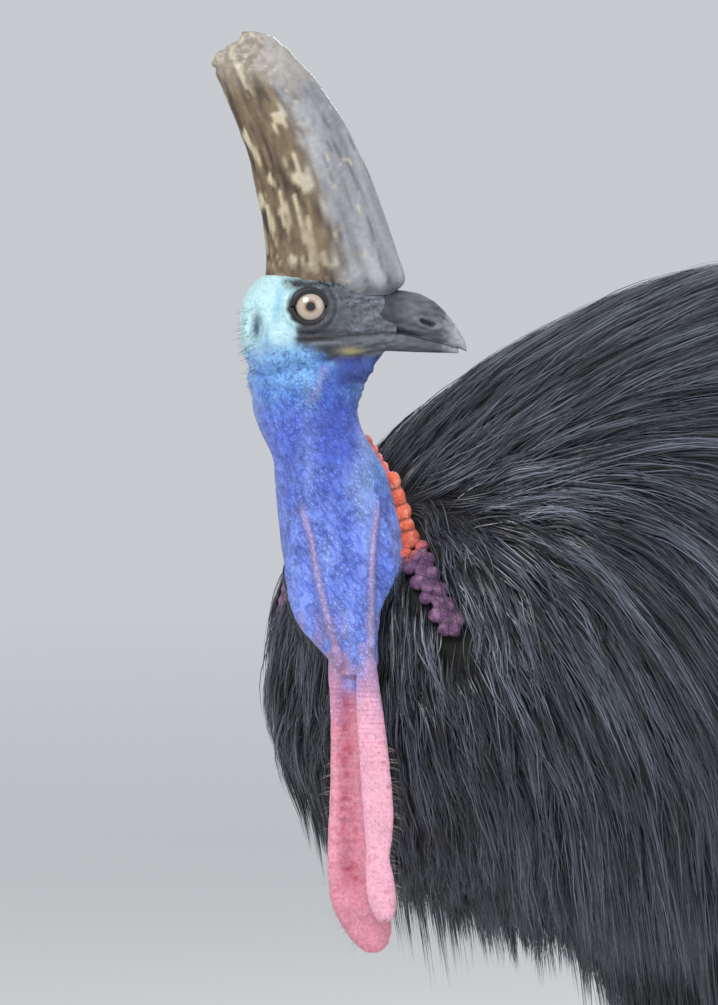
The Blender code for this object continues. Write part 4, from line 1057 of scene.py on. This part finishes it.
upper_rings = [bill_ring(f, top - 0.2, min(mouth_line(f), top - 1.2), half, 0.42, 64, 0.27)
               for f, top, half in smooth_rows(UPPER_BILL, 110)]
lower_rings = [bill_ring(f, mouth_line(f) + 2.6, bottom, half, 0.6, 56, 0.0)
               for f, bottom, half in smooth_rows(LOWER_BILL, 90)]
bill_paint = worn_horn_paint("bill_sheath", 0.4)
for rings, name, node in ((upper_rings, "upper_bill", "bill_upper"),
                          (lower_rings, "lower_bill", "bill_lower")):
    cast = Cast()
    cast.loft(rings)
    bill = cast.piece(name, bill_paint)
    points, slopes = read_points(bill.data), read_points(bill.data, "normal")
    f, r, h = head_measures(points)
    streak = grain((f * 0.28, r, h), 2.6, 51)
    chip = speckle(points, 3.0 * MM, 52)
    # the cere, a softer skin over the root of the bill
    cere = 1 - eased(f, 66, 80)
    move = 0.28 * streak + 0.2 * chip * eased(f, 96, 116)
    move += cere * 0.5 * grain((f * 0.6, r, h * 0.6), 3.4, 53)
    layers = [(BILL_GREY, 0.45 + 0.5 * streak), (BILL_PALE, 0.75 * eased(f + 4 * chip, 104, 120))]
    if name == "upper_bill":
        nostril = np.hypot((f - 95) / 7.2, (h + 13.6 + 0.3 * (f - 95)) / 3.0)
        move -= 3.2 * (1 - eased(nostril, 0.55, 1.05)) * (np.abs(r) > 3)
        move += 0.8 * hump(nostril, 1.35, 0.28) * (np.abs(r) > 3)
        move -= 0.9 * hump(h, mouth_line(f) + 7.5, 0.9) * eased(f, 58, 66) * (1 - eased(f, 84, 90))
        layers += [
            (BILL_GREY, 0.5 * eased(h, 2, 9) * eased(f, 84, 92)),
            # painted shade: the sunk nostril dark inside
            (paint(16, 17, 20), 1 - eased(nostril, 0.7, 1.05)),
            (BILL_GREY * 1.3, 0.6 * hump(nostril, 1.3, 0.25)),
            (paint(46, 48, 56), 0.8 * cere),
        ]
    layers.append((paint(14, 14, 17), 0.85 * hump(h, mouth_line(f) - 0.2, 0.9) * eased(f, 30, 60)))
    set_points(bill.data, points + slopes * (move * MM)[:, None])
    tinted(bill.data, layered(BILL_DARK, *layers), "horn_colour")
    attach(bill, "root")
    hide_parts(node)

# Eyes: glass balls painted behind, with a pale fawn iris, a small dark pupil and a black rim,
# set in sockets behind the lids.


def glass_eye_paint():
    """Painted glass, very smooth, with a clear coat."""
    work = Paintwork("glass_eye", 0.12, Coat_Weight=1.0, Coat_Roughness=0.02, Specular_IOR_Level=0.6)
    work.join(work.stored("iris_colour"), "Base Color")
    return work.material


eye_paint = glass_eye_paint()
EYE_RADIUS, EYE_DEPTH = 16.2 * MM, 20.5
for side, word in ((1, "right"), (-1, "left")):
    axis = unit(RIGHT * side + FORWARD * 0.10 + UP * 0.02)
    level = unit(np.cross(axis, UP))
    rise = np.cross(level, axis)
    centre = head_place(0, side * EYE_DEPTH, 0)
    ball = Cast()
    ball.loft(ball_rings(centre, (EYE_RADIUS,) * 3, (axis, level, rise), 90, 96))
    eyeball = ball.piece(f"eyeball_{word}", eye_paint)
    out = (read_points(eyeball.data) - centre) / EYE_RADIUS
    # degrees off the eye's axis: a pupil to 14, a pale iris with a tan rim within it, then dark
    off = np.degrees(np.arccos(np.clip(out @ axis, -1, 1)))
    spin = np.arctan2(out @ rise, out @ level)
    ray = np.sin(spin * 61) * 0.5 + np.sin(spin * 37 + 1.7) * 0.5
    colour = layered(
        paint(196, 182, 166),
        (paint(168, 150, 134), 0.45 + 0.4 * ray),
        (paint(150, 108, 76), 0.85 * hump(off, 16.5, 3.2)),
        (paint(12, 14, 24), 1 - eased(off, 13.0, 15.0)),
        (paint(84, 70, 64), eased(off, 38, 46)),
        (paint(18, 18, 22), eased(off, 45, 50)),
    )
    tinted(eyeball.data, colour, "iris_colour")
    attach(eyeball, "root")
    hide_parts(f"eye_{word}")

# Claws: solid horn, dark and lengthwise grained, worn at the points; the inner one is a dagger.
# Each grows from the end of its toe.

# claws: length and thickness in mm, and how far they arch
CLAWS = {"inner": (104, 11, 0.25), "middle": (44, 9.5, 0.7), "outer": (36, 8.5, 0.7)}
claw_paint = worn_horn_paint("claw_sheath", 0.36)
for leg, word in ((1, "left"), (-1, "right")):
    for kind, (length, thick, curve) in CLAWS.items():
        turn, _, end, _ = TOES[kind]
        way, across = toe_axes(leg, turn)
        root = foot_at(leg) + way * ((end - 7) * MM) + UP * 11.5 * MM
        share = np.linspace(0, 0.985, 60)
        rise = 3.5 * np.sin(math.pi * share) * (1 + curve) - 7.0 * share
        path = root + np.multiply.outer(length * share * MM, way) + np.multiply.outer(rise * MM, UP)
        claw_cast = Cast()
        rings = np.array(pipe_rings(path, thick * 0.98 * (1 - share) ** 0.75 * MM, 28, UP, 0.85))
        rings[:, :, 2] = np.maximum(rings[:, :, 2], 0.0013)
        claw_cast.loft(rings)
        claw = claw_cast.piece(f"horn_claw_{kind}_{word}", claw_paint)
        points = read_points(claw.data)
        at = (points - root) @ way / (length * MM)
        strands = grain((at * 6, (points @ across) * 600, points[:, 2] * 600), 1.0, 61)
        colour = layered(
            paint(44, 41, 38),
            (paint(104, 96, 86), 0.4 + 0.4 * strands),
            (paint(140, 130, 116), 0.5 * eased(at, 0.7, 1.0)),
        )
        tinted(claw.data, colour, "horn_colour")
        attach(claw, "root")
        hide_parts(f"claw_{kind}_{word}")

# Wings: a small limb lost under the plumage, with five bare black quills that arch back over the
# flank. The quills are the shafts of flight feathers that have no vanes.


def quill_paint():
    """Polished black horn with faint grain."""
    work = Paintwork("black_quill", 0.3, Specular_IOR_Level=0.5)
    work.join(work.grey(work.cloudy(0.010, 0.032, 160, 5.0)), "Base Color")
    work.bumps((work.noise(600), 0.3, 0.0003))
    return work.material


black_quill = quill_paint()
QUILLS, LONGEST_QUILL = 5, 0.235
for leg, word in ((1, "left"), (-1, "right")):
    shoulder = np.array((leg * 0.190, -0.168 + SET_BACK, 0.800))
    hand = np.array((leg * 0.238, -0.098 + SET_BACK, 0.763))
    elbow = (shoulder + hand) / 2 + np.array((leg * 0.008, 0, 0.004))
    limb = smooth_rows([(*shoulder, 17), (*elbow, 16), (*hand, 11)], 20)
    wing_cast = Cast()
    wing_cast.loft(pipe_rings(limb[:, :3], (limb[:, 3] - 2) * MM, 20, X, 0.7))
    for k in range(QUILLS):
        root = shoulder + (hand - shoulder) * (0.45 + 0.13 * k)
        slope = math.radians(26 + 9 * k)
        length = LONGEST_QUILL - 0.022 * k
        way = unit(np.array((leg * 0.08, math.cos(slope), -math.sin(slope))))
        share = np.linspace(0, 0.99, 24)
        sag = np.multiply.outer(share ** 2, np.array((leg * -0.008, 0, -0.045)))
        quill = root + np.multiply.outer(share * length, way) + sag
        wing_cast.loft(pipe_rings(quill, (3.2 - 2.4 * share) * MM, 10, X))
    wing = wing_cast.piece(f"wing_quills_{word}", black_quill)
    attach(wing, "root")
    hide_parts(f"wing_{word}")

# Plumage: each feather is a pair of limp shafts fringed with loose barbs, so the coat reads as
# coarse hair. It lies back over the body in fine wisps, spreads from the foot of the neck, hangs
# at the flanks and thins out at the drumsticks.

# the lie in degrees below level, by height in metres, at each distance along Y
LIE_Y = (-0.34, -0.27, -0.20, -0.10, 0.05, 0.30)
LIE = [
    (0.50, 60, 64, 66, 70, 72, 68), (0.60, 64, 64, 62, 64, 64, 62), (0.70, 66, 62, 60, 58, 56, 58),
    (0.79, 64, 57, 54, 50, 46, 52), (0.826, 50, 50, 52, 47, 42, 48), (0.874, 18, 28, 38, 38, 34, 42),
    (0.914, -8, 8, 22, 26, 25, 34), (0.96, -35, -8, 4, 13, 14, 24), (1.04, -60, -38, -20, -3, 4, 14),
]
# places along a strand, strands in a feather, distance between roots, and strands in a piece
STATIONS, STRANDS, ROOT_GAP, GROUP = 6, 19, 0.0131, 22000
body_tree = tree_over(body_sections(90, 96, 0.0))
body_and_neck = tree_over(body_sections(90, 96, 0.0), neck_rings)
draw = np.random.default_rng(71)


def lie_at(point):
    """The way that the coat lies at a place: back and down, downwards at the breast and rump."""
    y = point[1] - SET_BACK
    here = [np.interp(y, LIE_Y, row[1:]) for row in LIE]
    slope = math.radians(np.interp(point[2], [row[0] for row in LIE], here))
    way = np.array((0.0, math.cos(slope), -math.sin(slope)))
    breast = min(1.0, max(0.0, (-0.33 - y) / 0.07))
    rump = min(1.0, max(0.0, (y - 0.22) / 0.15)) * 0.8
    way = way * (1 - breast) + unit(np.array((1.1 * point[0], 0.25, -1.0))) * breast
    way = way * (1 - rump) + unit(np.array((0.9 * point[0], 0.55, -1.0))) * rump
    return unit(way)


def feather_line(tree, root, length, lift, swirl, hang):
    """Where a feather runs: it rises a little from the skin, then lies level and droops."""
    point, slope = on_skin(tree, root)
    line, outs = [point - slope * 0.004], [slope]
    step = length / (STATIONS - 1)
    for k in range(1, STATIONS):
        share = k / (STATIONS - 1)
        way = lie_at(point) if hang is None else hang
        flat = way - slope * (way @ slope)
        flat /= max(np.linalg.norm(flat), 1e-6)
        flat = flat * math.cos(swirl) + np.cross(slope, flat) * math.sin(swirl)
        # under the belly it leaves the skin and hangs free
        free = min(1.0, max(0.0, -0.25 - slope[2]) / 0.35)
        point = point + unit(flat * (1 - free) + np.array((0.0, 0.18, -0.98)) * free) * step
        near, near_slope = on_skin(tree, point)
        height = lift * (1 - (1 - share) ** 2.8)
        held = near + near_slope * height
        point = held * (1 - free) + point * free
        if (point - near) @ near_slope < height:
            point = held
        slope = unit(slope * 0.3 + near_slope * 0.7)
        line.append(point)
        outs.append(slope)
    return line, outs


# roots in rows that are evenly spaced over the body, from the breast round to the tail
BODY_FEATHER, NECK_FEATHER, END_CAP = 0.190, 0.080, 0.032
roots = []
dense_body = smooth_rows(BODY, 1200)
run = np.hypot(np.diff(dense_body[:, 0]), np.abs(np.diff(dense_body[:, 1:], axis=0)).max(axis=1))
run = np.concatenate(([0.0], np.cumsum(run)))
for at in np.arange(-0.030, run[-1] + 0.028, ROOT_GAP):
    index = int(np.clip(np.searchsorted(run, at), 0, len(run) - 1))
    y, top, bottom, half = dense_body[index]
    shrink = 1.0
    if at < 0:
        shrink = 1 + at / END_CAP
    if at > run[-1]:
        shrink = 1 - (at - run[-1]) / END_CAP
    middle = bottom + WIDEST_SHARE * (top - bottom)
    wide, rise, drop = half * shrink, (top - middle) * shrink, (middle - bottom) * shrink
    around = 2 * math.pi * math.sqrt((wide ** 2 + ((rise + drop) / 2) ** 2) / 2)
    count = max(3, int(around / ROOT_GAP))
    centre = np.array((0.0, y + SET_BACK, middle))
    ring = egg_ring(centre, X, UP, wide, rise, drop, count * 4, BODY_FULLNESS)
    for spot in ring[draw.integers(0, 4)::4]:
        spot = spot + draw.uniform(-0.0065, 0.0065, 3)
        # shorter at the breast, low on the flanks, at the tail and under the belly
        length = BODY_FEATHER
        length *= 0.50 + 0.50 * float(eased(y, -0.40, -0.20))
        length *= 1 - 0.18 * float(eased(spot[2], 0.62, 0.55))
        length *= 1 - 0.22 * float(eased(y, 0.16, 0.34))
        turn = max(-1.0, min(1.0, (spot[2] - middle) / max(rise, drop, 0.02)))
        length *= 1 - 0.62 * float(eased(-turn, 0.30, 0.95))
        lift = 0.011 + 0.011 * math.sqrt(1 - turn * turn)
        roots.append((spot, length, lift, body_tree))
for level in np.arange(0.796, 0.896, 0.0085):
    below = 1030 - level * 1000
    f0, r0, long, thick = stations_at(NECK, below, 0, 1, 3, 4)
    for spot in egg_ring(head_place(f0, r0, -below), FORWARD, RIGHT, long * MM, thick * MM, thick * MM, 40):
        roots.append((spot + draw.uniform(-0.003, 0.003, 3), NECK_FEATHER, 0.010, body_and_neck))

# feathers keep clear of the bare neck, its foot in front and the beaded bands
ROOT_CLEAR, STRAND_CLEAR = 0.0135, 0.0128
band_spots = np.array([p for p, _ in band_path + mirror_path])
kept = []
for spot, length, lift, tree in roots:
    x, y, z = spot
    near, _ = on_skin(body_and_neck, spot)
    if np.linalg.norm(near - spot) > 0.016:
        continue
    if y < -0.345 and z > 0.822:
        continue
    if z > 0.890 and y < -0.30 and abs(x) < 0.06:
        continue
    if np.linalg.norm(band_spots - spot, axis=1).min() < ROOT_CLEAR:
        continue
    near_neck = float(eased(math.hypot(x, y + 0.33), 0.16, 0.06)) if z > 0.72 else 0.0
    kept.append((spot, length * (1 - 0.25 * near_neck), lift * (1 - 0.4 * near_neck), None, tree))
for leg in (1, -1):
    thigh_tree = tree_over(drumstick_rings(leg, 24, 48, 0))
    knee, hock = leg_point(leg, KNEE), leg_point(leg, HOCK)
    for share in np.arange(0.02, 0.94, 0.042):
        for angle in np.arange(0, 2 * math.pi, 0.18):
            out = np.array((math.cos(angle), math.sin(angle), 0.0))
            spot = knee + (hock - knee) * share + out * 0.06 + draw.uniform(-0.006, 0.006, 3)
            hang = np.array((0.0, 0.24, -0.97))
            kept.append((spot, 0.115 - 0.045 * share, 0.014 - 0.006 * share, hang, thigh_tree))

# some feathers lie on top, long and straight, and the rest under them, shorter and more tangled
ON_TOP = 0.36
lines, outs, homes = [], [], []
for spot, length, lift, hang, tree in kept:
    on_top = draw.uniform(0, 1) < ON_TOP
    swirl = draw.normal(0, 0.05 if on_top else 0.11)
    length = length * (draw.uniform(0.95, 1.25) if on_top else draw.uniform(0.6, 1.0))
    lift = lift * (draw.uniform(0.85, 1.10) if on_top else draw.uniform(0.25, 0.85))
    line, out = feather_line(tree, spot, length, lift, swirl, hang)
    lines.append(line)
    outs.append(out)
    homes.append(spot)
lines, outs, homes = np.array(lines), np.array(outs), np.array(homes)

# each feather's strands start apart, draw together into wisps and fray at their tips
feathers = len(lines)
across = units(np.cross(units(np.gradient(lines, axis=1)), outs))
share = np.linspace(0, 1, STATIONS)
spread_side = draw.normal(0, 1, (feathers, STRANDS))
spread_out = draw.normal(0, 1, (feathers, STRANDS))
reach = draw.uniform(0.55, 1.0, (feathers, STRANDS))
fray = draw.uniform(0.15, 1.25, (feathers, 1, 1))
gather = 0.0068 * (1 - (1 - 0.55 * fray) * share ** 0.8)
curl = draw.normal(0, 0.0026, (feathers, STRANDS, 1)) * share ** 2.5
wave = draw.uniform(0, 6.3, (feathers, 1, 1))
own_wave = draw.uniform(0, 6.3, (feathers, STRANDS, 1))
curl = curl + 0.0016 * np.sin(wave + share * 6.0) + 0.0007 * np.sin(own_wave + share * 9.0)
side_off = spread_side[:, :, None] * gather + curl
out_off = spread_out[:, :, None] * gather * 0.30
at = reach[:, :, None] * share * (STATIONS - 1)
low = np.minimum(at.astype(int), STATIONS - 2)
part = (at - low)[..., None]
owner = np.arange(feathers)[:, None, None]


def along_line(values):
    """Values of a feather's line, read at each strand's own stations."""
    return values[owner, low] * (1 - part) + values[owner, low + 1] * part


strand_out = along_line(outs)
strand = along_line(lines) + along_line(across) * side_off[..., None] + strand_out * out_off[..., None]
strand = strand.reshape(-1, STATIONS, 3)
strand_out = strand_out.reshape(-1, STATIONS, 3)
feather_of = np.repeat(np.arange(feathers), STRANDS)
place_in = np.tile(np.arange(STRANDS), feathers)

# strands pass behind the wattles and the flap, and none runs through the beaded bands
flat_points = strand.reshape(-1, 3)
for table, margin in ((RIGHT_WATTLE, 1.2), (LEFT_WATTLE, 1.2), (FLAP, 1.08)):
    f, r, h = head_measures(flat_points)
    top, foot = -table[0][2], -table[-1][2]
    f0, r0, long, thick = stations_at(table, -h, 0, 1, 3, 4)
    inside = 1 - ((f - f0) / (long * margin)) ** 2
    behind = r0 - np.sqrt(np.maximum(inside, 0)) * (thick * margin + 2)
    hit = (inside > 0) & (r > behind) & (-h > top + 4) & (-h < foot + 3)
    flat_points[hit] += np.multiply.outer((behind - r)[hit] * MM, RIGHT)
blocked = np.zeros(len(flat_points), bool)
near_band = (flat_points[:, 2] > 0.74) & (flat_points[:, 2] < 0.92)
near_band &= np.abs(flat_points[:, 1] + 0.345) < 0.06
index = np.nonzero(near_band)[0]
gap = np.full(len(index), 1e9)
for spot in band_spots:
    gap = np.minimum(gap, np.linalg.norm(flat_points[index] - spot, axis=1))
blocked[index[gap < STRAND_CLEAR]] = True
clear = ~blocked.reshape(-1, STATIONS)[:, 1:].any(axis=1)
strand, strand_out = strand[clear], strand_out[clear]
feather_of, place_in = feather_of[clear], place_in[clear]

# each strand is a ribbon, turned a little at random, that thins to a point
roll = draw.normal(0, 0.7, (len(strand), 1, 1))
way = units(np.gradient(strand, axis=1))
flat_side = units(np.cross(way, strand_out))
flat_side = flat_side * np.cos(roll) + np.cross(flat_side, way) * np.sin(roll)
width = draw.uniform(0.00030, 0.00052, (len(strand), 1)) * np.array((0.8, 1.0, 0.95, 0.8, 0.5, 0.0))
feather_tone = draw.uniform(-1, 1, feathers)
strand_tone = feather_tone[feather_of] * 0.4 + draw.uniform(-1, 1, len(strand)) * 0.6


def plume_paint():
    """Black barbs, with a blue grey painted sheen laid in by their stored tone."""
    work = Paintwork("black_plume", 0.36, Specular_IOR_Level=0.6, Sheen_Weight=0.3, Sheen_Roughness=0.4)
    tone = work.stored("plume_sheen_and_tone", "Fac")
    work.join(work.blend("MIX", tone, (0.003, 0.0035, 0.005), (0.290, 0.330, 0.430)), "Base Color")
    return work.material


black_plume = plume_paint()
# where each feather's patch of the OFBake unwrap is: along the body and round it
around_body = np.arctan2(homes[:, 0], homes[:, 2] - 0.77) / (2 * math.pi) + 0.5
patch_u = 0.03 + 0.94 * (homes[:, 1] - homes[:, 1].min()) / np.ptp(homes[:, 1])
patch_v = 0.03 + 0.94 * around_body


def plume_piece(name, chosen):
    """One piece of the coat, from the strands chosen."""
    middle, half = strand[chosen], flat_side[chosen] * width[chosen][..., None]
    count = len(middle)
    sides = np.stack((middle[:, :-1] - half[:, :-1], middle[:, :-1] + half[:, :-1]), axis=2)
    points = np.concatenate((sides.reshape(count, -1, 3), middle[:, -1:]), axis=1)
    per = points.shape[1]
    # four-sided faces along the ribbon and a three-sided one at its tip
    quads = [(2 * k, 2 * k + 1, 2 * k + 3, 2 * k + 2) for k in range(STATIONS - 2)]
    corners = np.array([v for quad in quads for v in quad] + [per - 3, per - 2, per - 1])
    firsts = 4 * np.arange(len(quads) + 1)
    all_corners = (np.arange(count)[:, None] * per + corners).ravel()
    all_firsts = (np.arange(count)[:, None] * len(corners) + firsts).ravel()
    mesh = bpy.data.meshes.new(name)
    mesh.vertices.add(count * per)
    mesh.vertices.foreach_set("co", points.astype(np.float32).ravel())
    mesh.loops.add(len(all_corners))
    mesh.loops.foreach_set("vertex_index", all_corners.astype(np.int32))
    mesh.polygons.add(len(all_firsts))
    mesh.polygons.foreach_set("loop_start", all_firsts.astype(np.int32))
    mesh.update(calc_edges=True)
    mesh.shade_smooth()
    # painted light paler towards the tips and on the back, painted shade darker at the roots and lower down,
    # and strands not the same from one to another
    level = np.repeat(share, 2)[:per]
    sheen_and_tone = 0.02 + 0.28 * level + (0.12 + 0.62 * level) * strand_tone[chosen][:, None]
    # painted light higher on the back, painted shade lower on the body
    sheen_and_tone *= (0.70 + 0.30 * eased(homes[feather_of[chosen], 2], 0.62, 0.86))[:, None]
    stored_share(mesh, "plume_sheen_and_tone", sheen_and_tone.ravel())
    # each strand has its own small patch of the OFBake unwrap
    u = patch_u[feather_of[chosen]][:, None] + 0.003 * (level - 0.5)
    v = patch_v[feather_of[chosen]][:, None] + 0.003 * (place_in[chosen] / STRANDS - 0.5)[:, None]
    v = v + 0.0001 * (np.arange(per) % 2)
    patch = np.stack(np.broadcast_arrays(u, v), axis=2).reshape(-1, 2)
    unwrap = mesh.uv_layers.new(name="OFBake")
    unwrap.data.foreach_set("uv", patch[all_corners].astype(np.float32).ravel())
    mesh.materials.append(black_plume)
    plume = put_in_scene(name, mesh)
    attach(plume, "root")


order = np.argsort(homes[feather_of, 1], kind="stable")
for number, start in enumerate(range(0, len(order), GROUP)):
    plume_piece(f"plumage_{number + 1}", order[start:start + GROUP])

# Bristles and hairs: short black bristles stand along the brow, the lores and the back of the
# head, and sparse pale hairs fringe the wattles. Each grows from its own pore.

faces = [list(face.vertices) for face in bare.polygons]
skin_tree = BVHTree.FromPolygons(skin_points[:bare_count].tolist(), faces)
hair_draw = np.random.default_rng(83)


def hair_piece(name, hairs, paint_of):
    """Tapered three-sided hairs, each given as root, way, droop, length and thickness."""
    cast, patches = Cast(), []
    for number, (root, way, droop, length, thick) in enumerate(hairs):
        share = np.linspace(0, 1, 5)
        line = root + np.multiply.outer(length * share, way) + np.multiply.outer(length * share ** 2, droop)
        cast.loft(pipe_rings(line, thick * (1 - 0.9 * share), 3, np.array((0.3, 0.5, 0.8))))
        patches.append((0.05 + 0.9 * (number % 40) / 40, 0.05 + 0.9 * (number // 40) / 40))
    hair = cast.piece(name, paint_of)
    per = cast.count // len(hairs)
    unwrap = hair.data.uv_layers.new(name="OFBake")
    for loop in hair.data.loops:
        u, v = patches[loop.vertex_index // per]
        step = (loop.vertex_index % per) / per
        unwrap.data[loop.index].uv = (u + 0.003 * step, v + 0.003 * (loop.vertex_index % 3) / 3)
    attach(hair, "root")


def hair_paint(name, colour):
    """Plain keratin, a little glossy, mottled along its length."""
    work = Paintwork(name, 0.45)
    tone = work.cloudy(0.0, 1.0, 300)
    work.join(work.blend("MIX", tone, tuple(c * 0.7 for c in colour), colour), "Base Color")
    return work.material


# bristles of the brow, the lores and the nape: how many a side, where they start forward and up
# and how far they spread in mm, how the row falls, how they lean forward and up, and their length
BRISTLES = [
    (150, (-20, 66), (15.5, 6), 0.05, (-0.6, 0.75), 6),
    (90, (26, 36), (-16, 26), 0.0, (0.5, -0.4), 4),
    (130, (-62, 22), (-70, 70), 0.0, (-0.75, -0.5), 7),
]
bristles = []
for side_of_head in (1, -1):
    for amount, (first_f, span_f), (first_h, span_h), fall, (way_f, way_h), long in BRISTLES:
        for _ in range(amount):
            u, v = hair_draw.uniform(0, 1, 2)
            along = span_f * u
            start = head_place(first_f + along, side_of_head * 120, first_h - fall * along + span_h * v)
            spot, slope = struck(skin_tree, start, RIGHT * -side_of_head)
            if spot is None:
                continue
            way = unit(FORWARD * way_f + UP * way_h + slope * 0.45 + hair_draw.normal(0, 0.22, 3))
            length = long * hair_draw.uniform(0.6, 1.2) * MM
            bristles.append((spot - slope * 0.4 * MM, way, FORWARD * -0.1, length, 0.16 * MM))
hair_piece("face_bristles", bristles, hair_paint("black_bristle", (0.010, 0.011, 0.014)))
wattle_hairs = []
for table in (RIGHT_WATTLE, LEFT_WATTLE):
    top, foot = -table[0][2], -table[-1][2]
    for _ in range(95):
        below = hair_draw.uniform(0.25, 1.0) ** 0.7 * (foot - top) + top - 2
        f0, r0, long = stations_at(table, below, 0, 1, 3)
        edge = 1 if hair_draw.uniform() < 0.5 else -1
        spot, slope = on_skin(skin_tree, head_place(f0 + edge * long, r0, -below))
        way = unit(slope + UP * -0.25 + hair_draw.normal(0, 0.18, 3))
        length = hair_draw.uniform(5, 11) * MM
        wattle_hairs.append((spot - slope * 0.5 * MM, way, UP * -0.22, length, 0.14 * MM))
hair_piece("wattle_hairs", wattle_hairs, hair_paint("pale_hair", (0.62, 0.56, 0.52)))

# Floor, light and camera, which aren't part of the bird.

ROOM_COLOUR, ROOM_LIGHT = (0.86, 0.89, 0.94), 0.66
FLOOR_REACH, FADE_FROM, FADE_TO = 60.0, 2.0, 9.0
floor_cast = bmesh.new()
bmesh.ops.create_circle(floor_cast, cap_ends=True, radius=FLOOR_REACH, segments=128)
floor_mesh = bpy.data.meshes.new("floor")
floor_cast.to_mesh(floor_mesh)
floor_cast.free()
floor = put_in_scene("floor", floor_mesh)
work = Paintwork("pale_floor", 0.8, Base_Color=(0.72, 0.72, 0.71, 1))
# far from the bird the floor gives way to the colour of the room
reach = work.node("ShaderNodeVectorMath", {0: work.place()}, operation="LENGTH").outputs["Value"]
far = work.span(reach, FADE_FROM, FADE_TO, 0.0, 1.0)
haze = work.node("ShaderNodeEmission", {"Color": (*ROOM_COLOUR, 1), "Strength": ROOM_LIGHT}).outputs[0]
faded = work.node("ShaderNodeMixShader", {0: far, 1: work.shader.outputs[0], 2: haze}).outputs[0]
work.tree.links.new(faded, work.tree.nodes["Material Output"].inputs["Surface"])
floor_mesh.materials.append(work.material)

world = bpy.data.worlds.new("pale_room")
world.use_nodes = True
room = world.node_tree.nodes["Background"].inputs
room["Color"].default_value = (*ROOM_COLOUR, 1)
room["Strength"].default_value = ROOM_LIGHT
bpy.context.scene.world = world
bpy.context.scene.view_settings.view_transform = "Standard"


def soft_light(name, place, aim, size, power, colour=(1, 1, 1)):
    """A broad lamp that looks at a place."""
    lamp = bpy.data.lights.new(name, "AREA")
    lamp.shape = "DISK"
    lamp.size = size
    lamp.energy = power
    lamp.color = colour
    made = put_in_scene(name, lamp)
    made.location = place
    made.rotation_euler = (Vector(aim) - Vector(place)).to_track_quat("-Z", "Y").to_euler()


soft_light("key", (1.2, -2.6, 3.0), (0.0, -0.3, 0.95), 1.6, 75)
soft_light("fill", (3.2, 0.6, 1.6), (0.0, 0.0, 0.8), 2.5, 22, (0.92, 0.95, 1.0))
soft_light("rim", (-1.4, 2.6, 2.6), (0.0, 0.0, 0.9), 1.6, 40, (0.95, 0.97, 1.0))

# the camera's turn and rise, its distance, and the height of what it sees, in degrees and metres
CAMERA_TURN, CAMERA_RISE = math.radians(50), math.radians(4)
DISTANCE, VIEW_HEIGHT, SENSOR = 6.0, 0.804, 36
# the frame in pixels, and where in it the eyes are
FRAME, EYES_IN_FRAME = (718, 1005), (309, 305)
pixel = VIEW_HEIGHT / FRAME[1]
away = Vector((math.sin(CAMERA_TURN) * math.cos(CAMERA_RISE),
               -math.cos(CAMERA_TURN) * math.cos(CAMERA_RISE),
               math.sin(CAMERA_RISE)))
facing = (-away).to_track_quat("-Z", "Y")
to_middle = facing @ Vector((FRAME[0] / 2 - EYES_IN_FRAME[0], EYES_IN_FRAME[1] - FRAME[1] / 2, 0))
lens = bpy.data.cameras.new("camera")
lens.sensor_fit = "VERTICAL"
lens.sensor_height = SENSOR
lens.lens = SENSOR * DISTANCE / VIEW_HEIGHT
camera = put_in_scene("camera", lens)
camera.rotation_euler = facing.to_euler()
camera.location = Vector(HEAD_AT) + to_middle * pixel + away * DISTANCE
bpy.context.scene.camera = camera
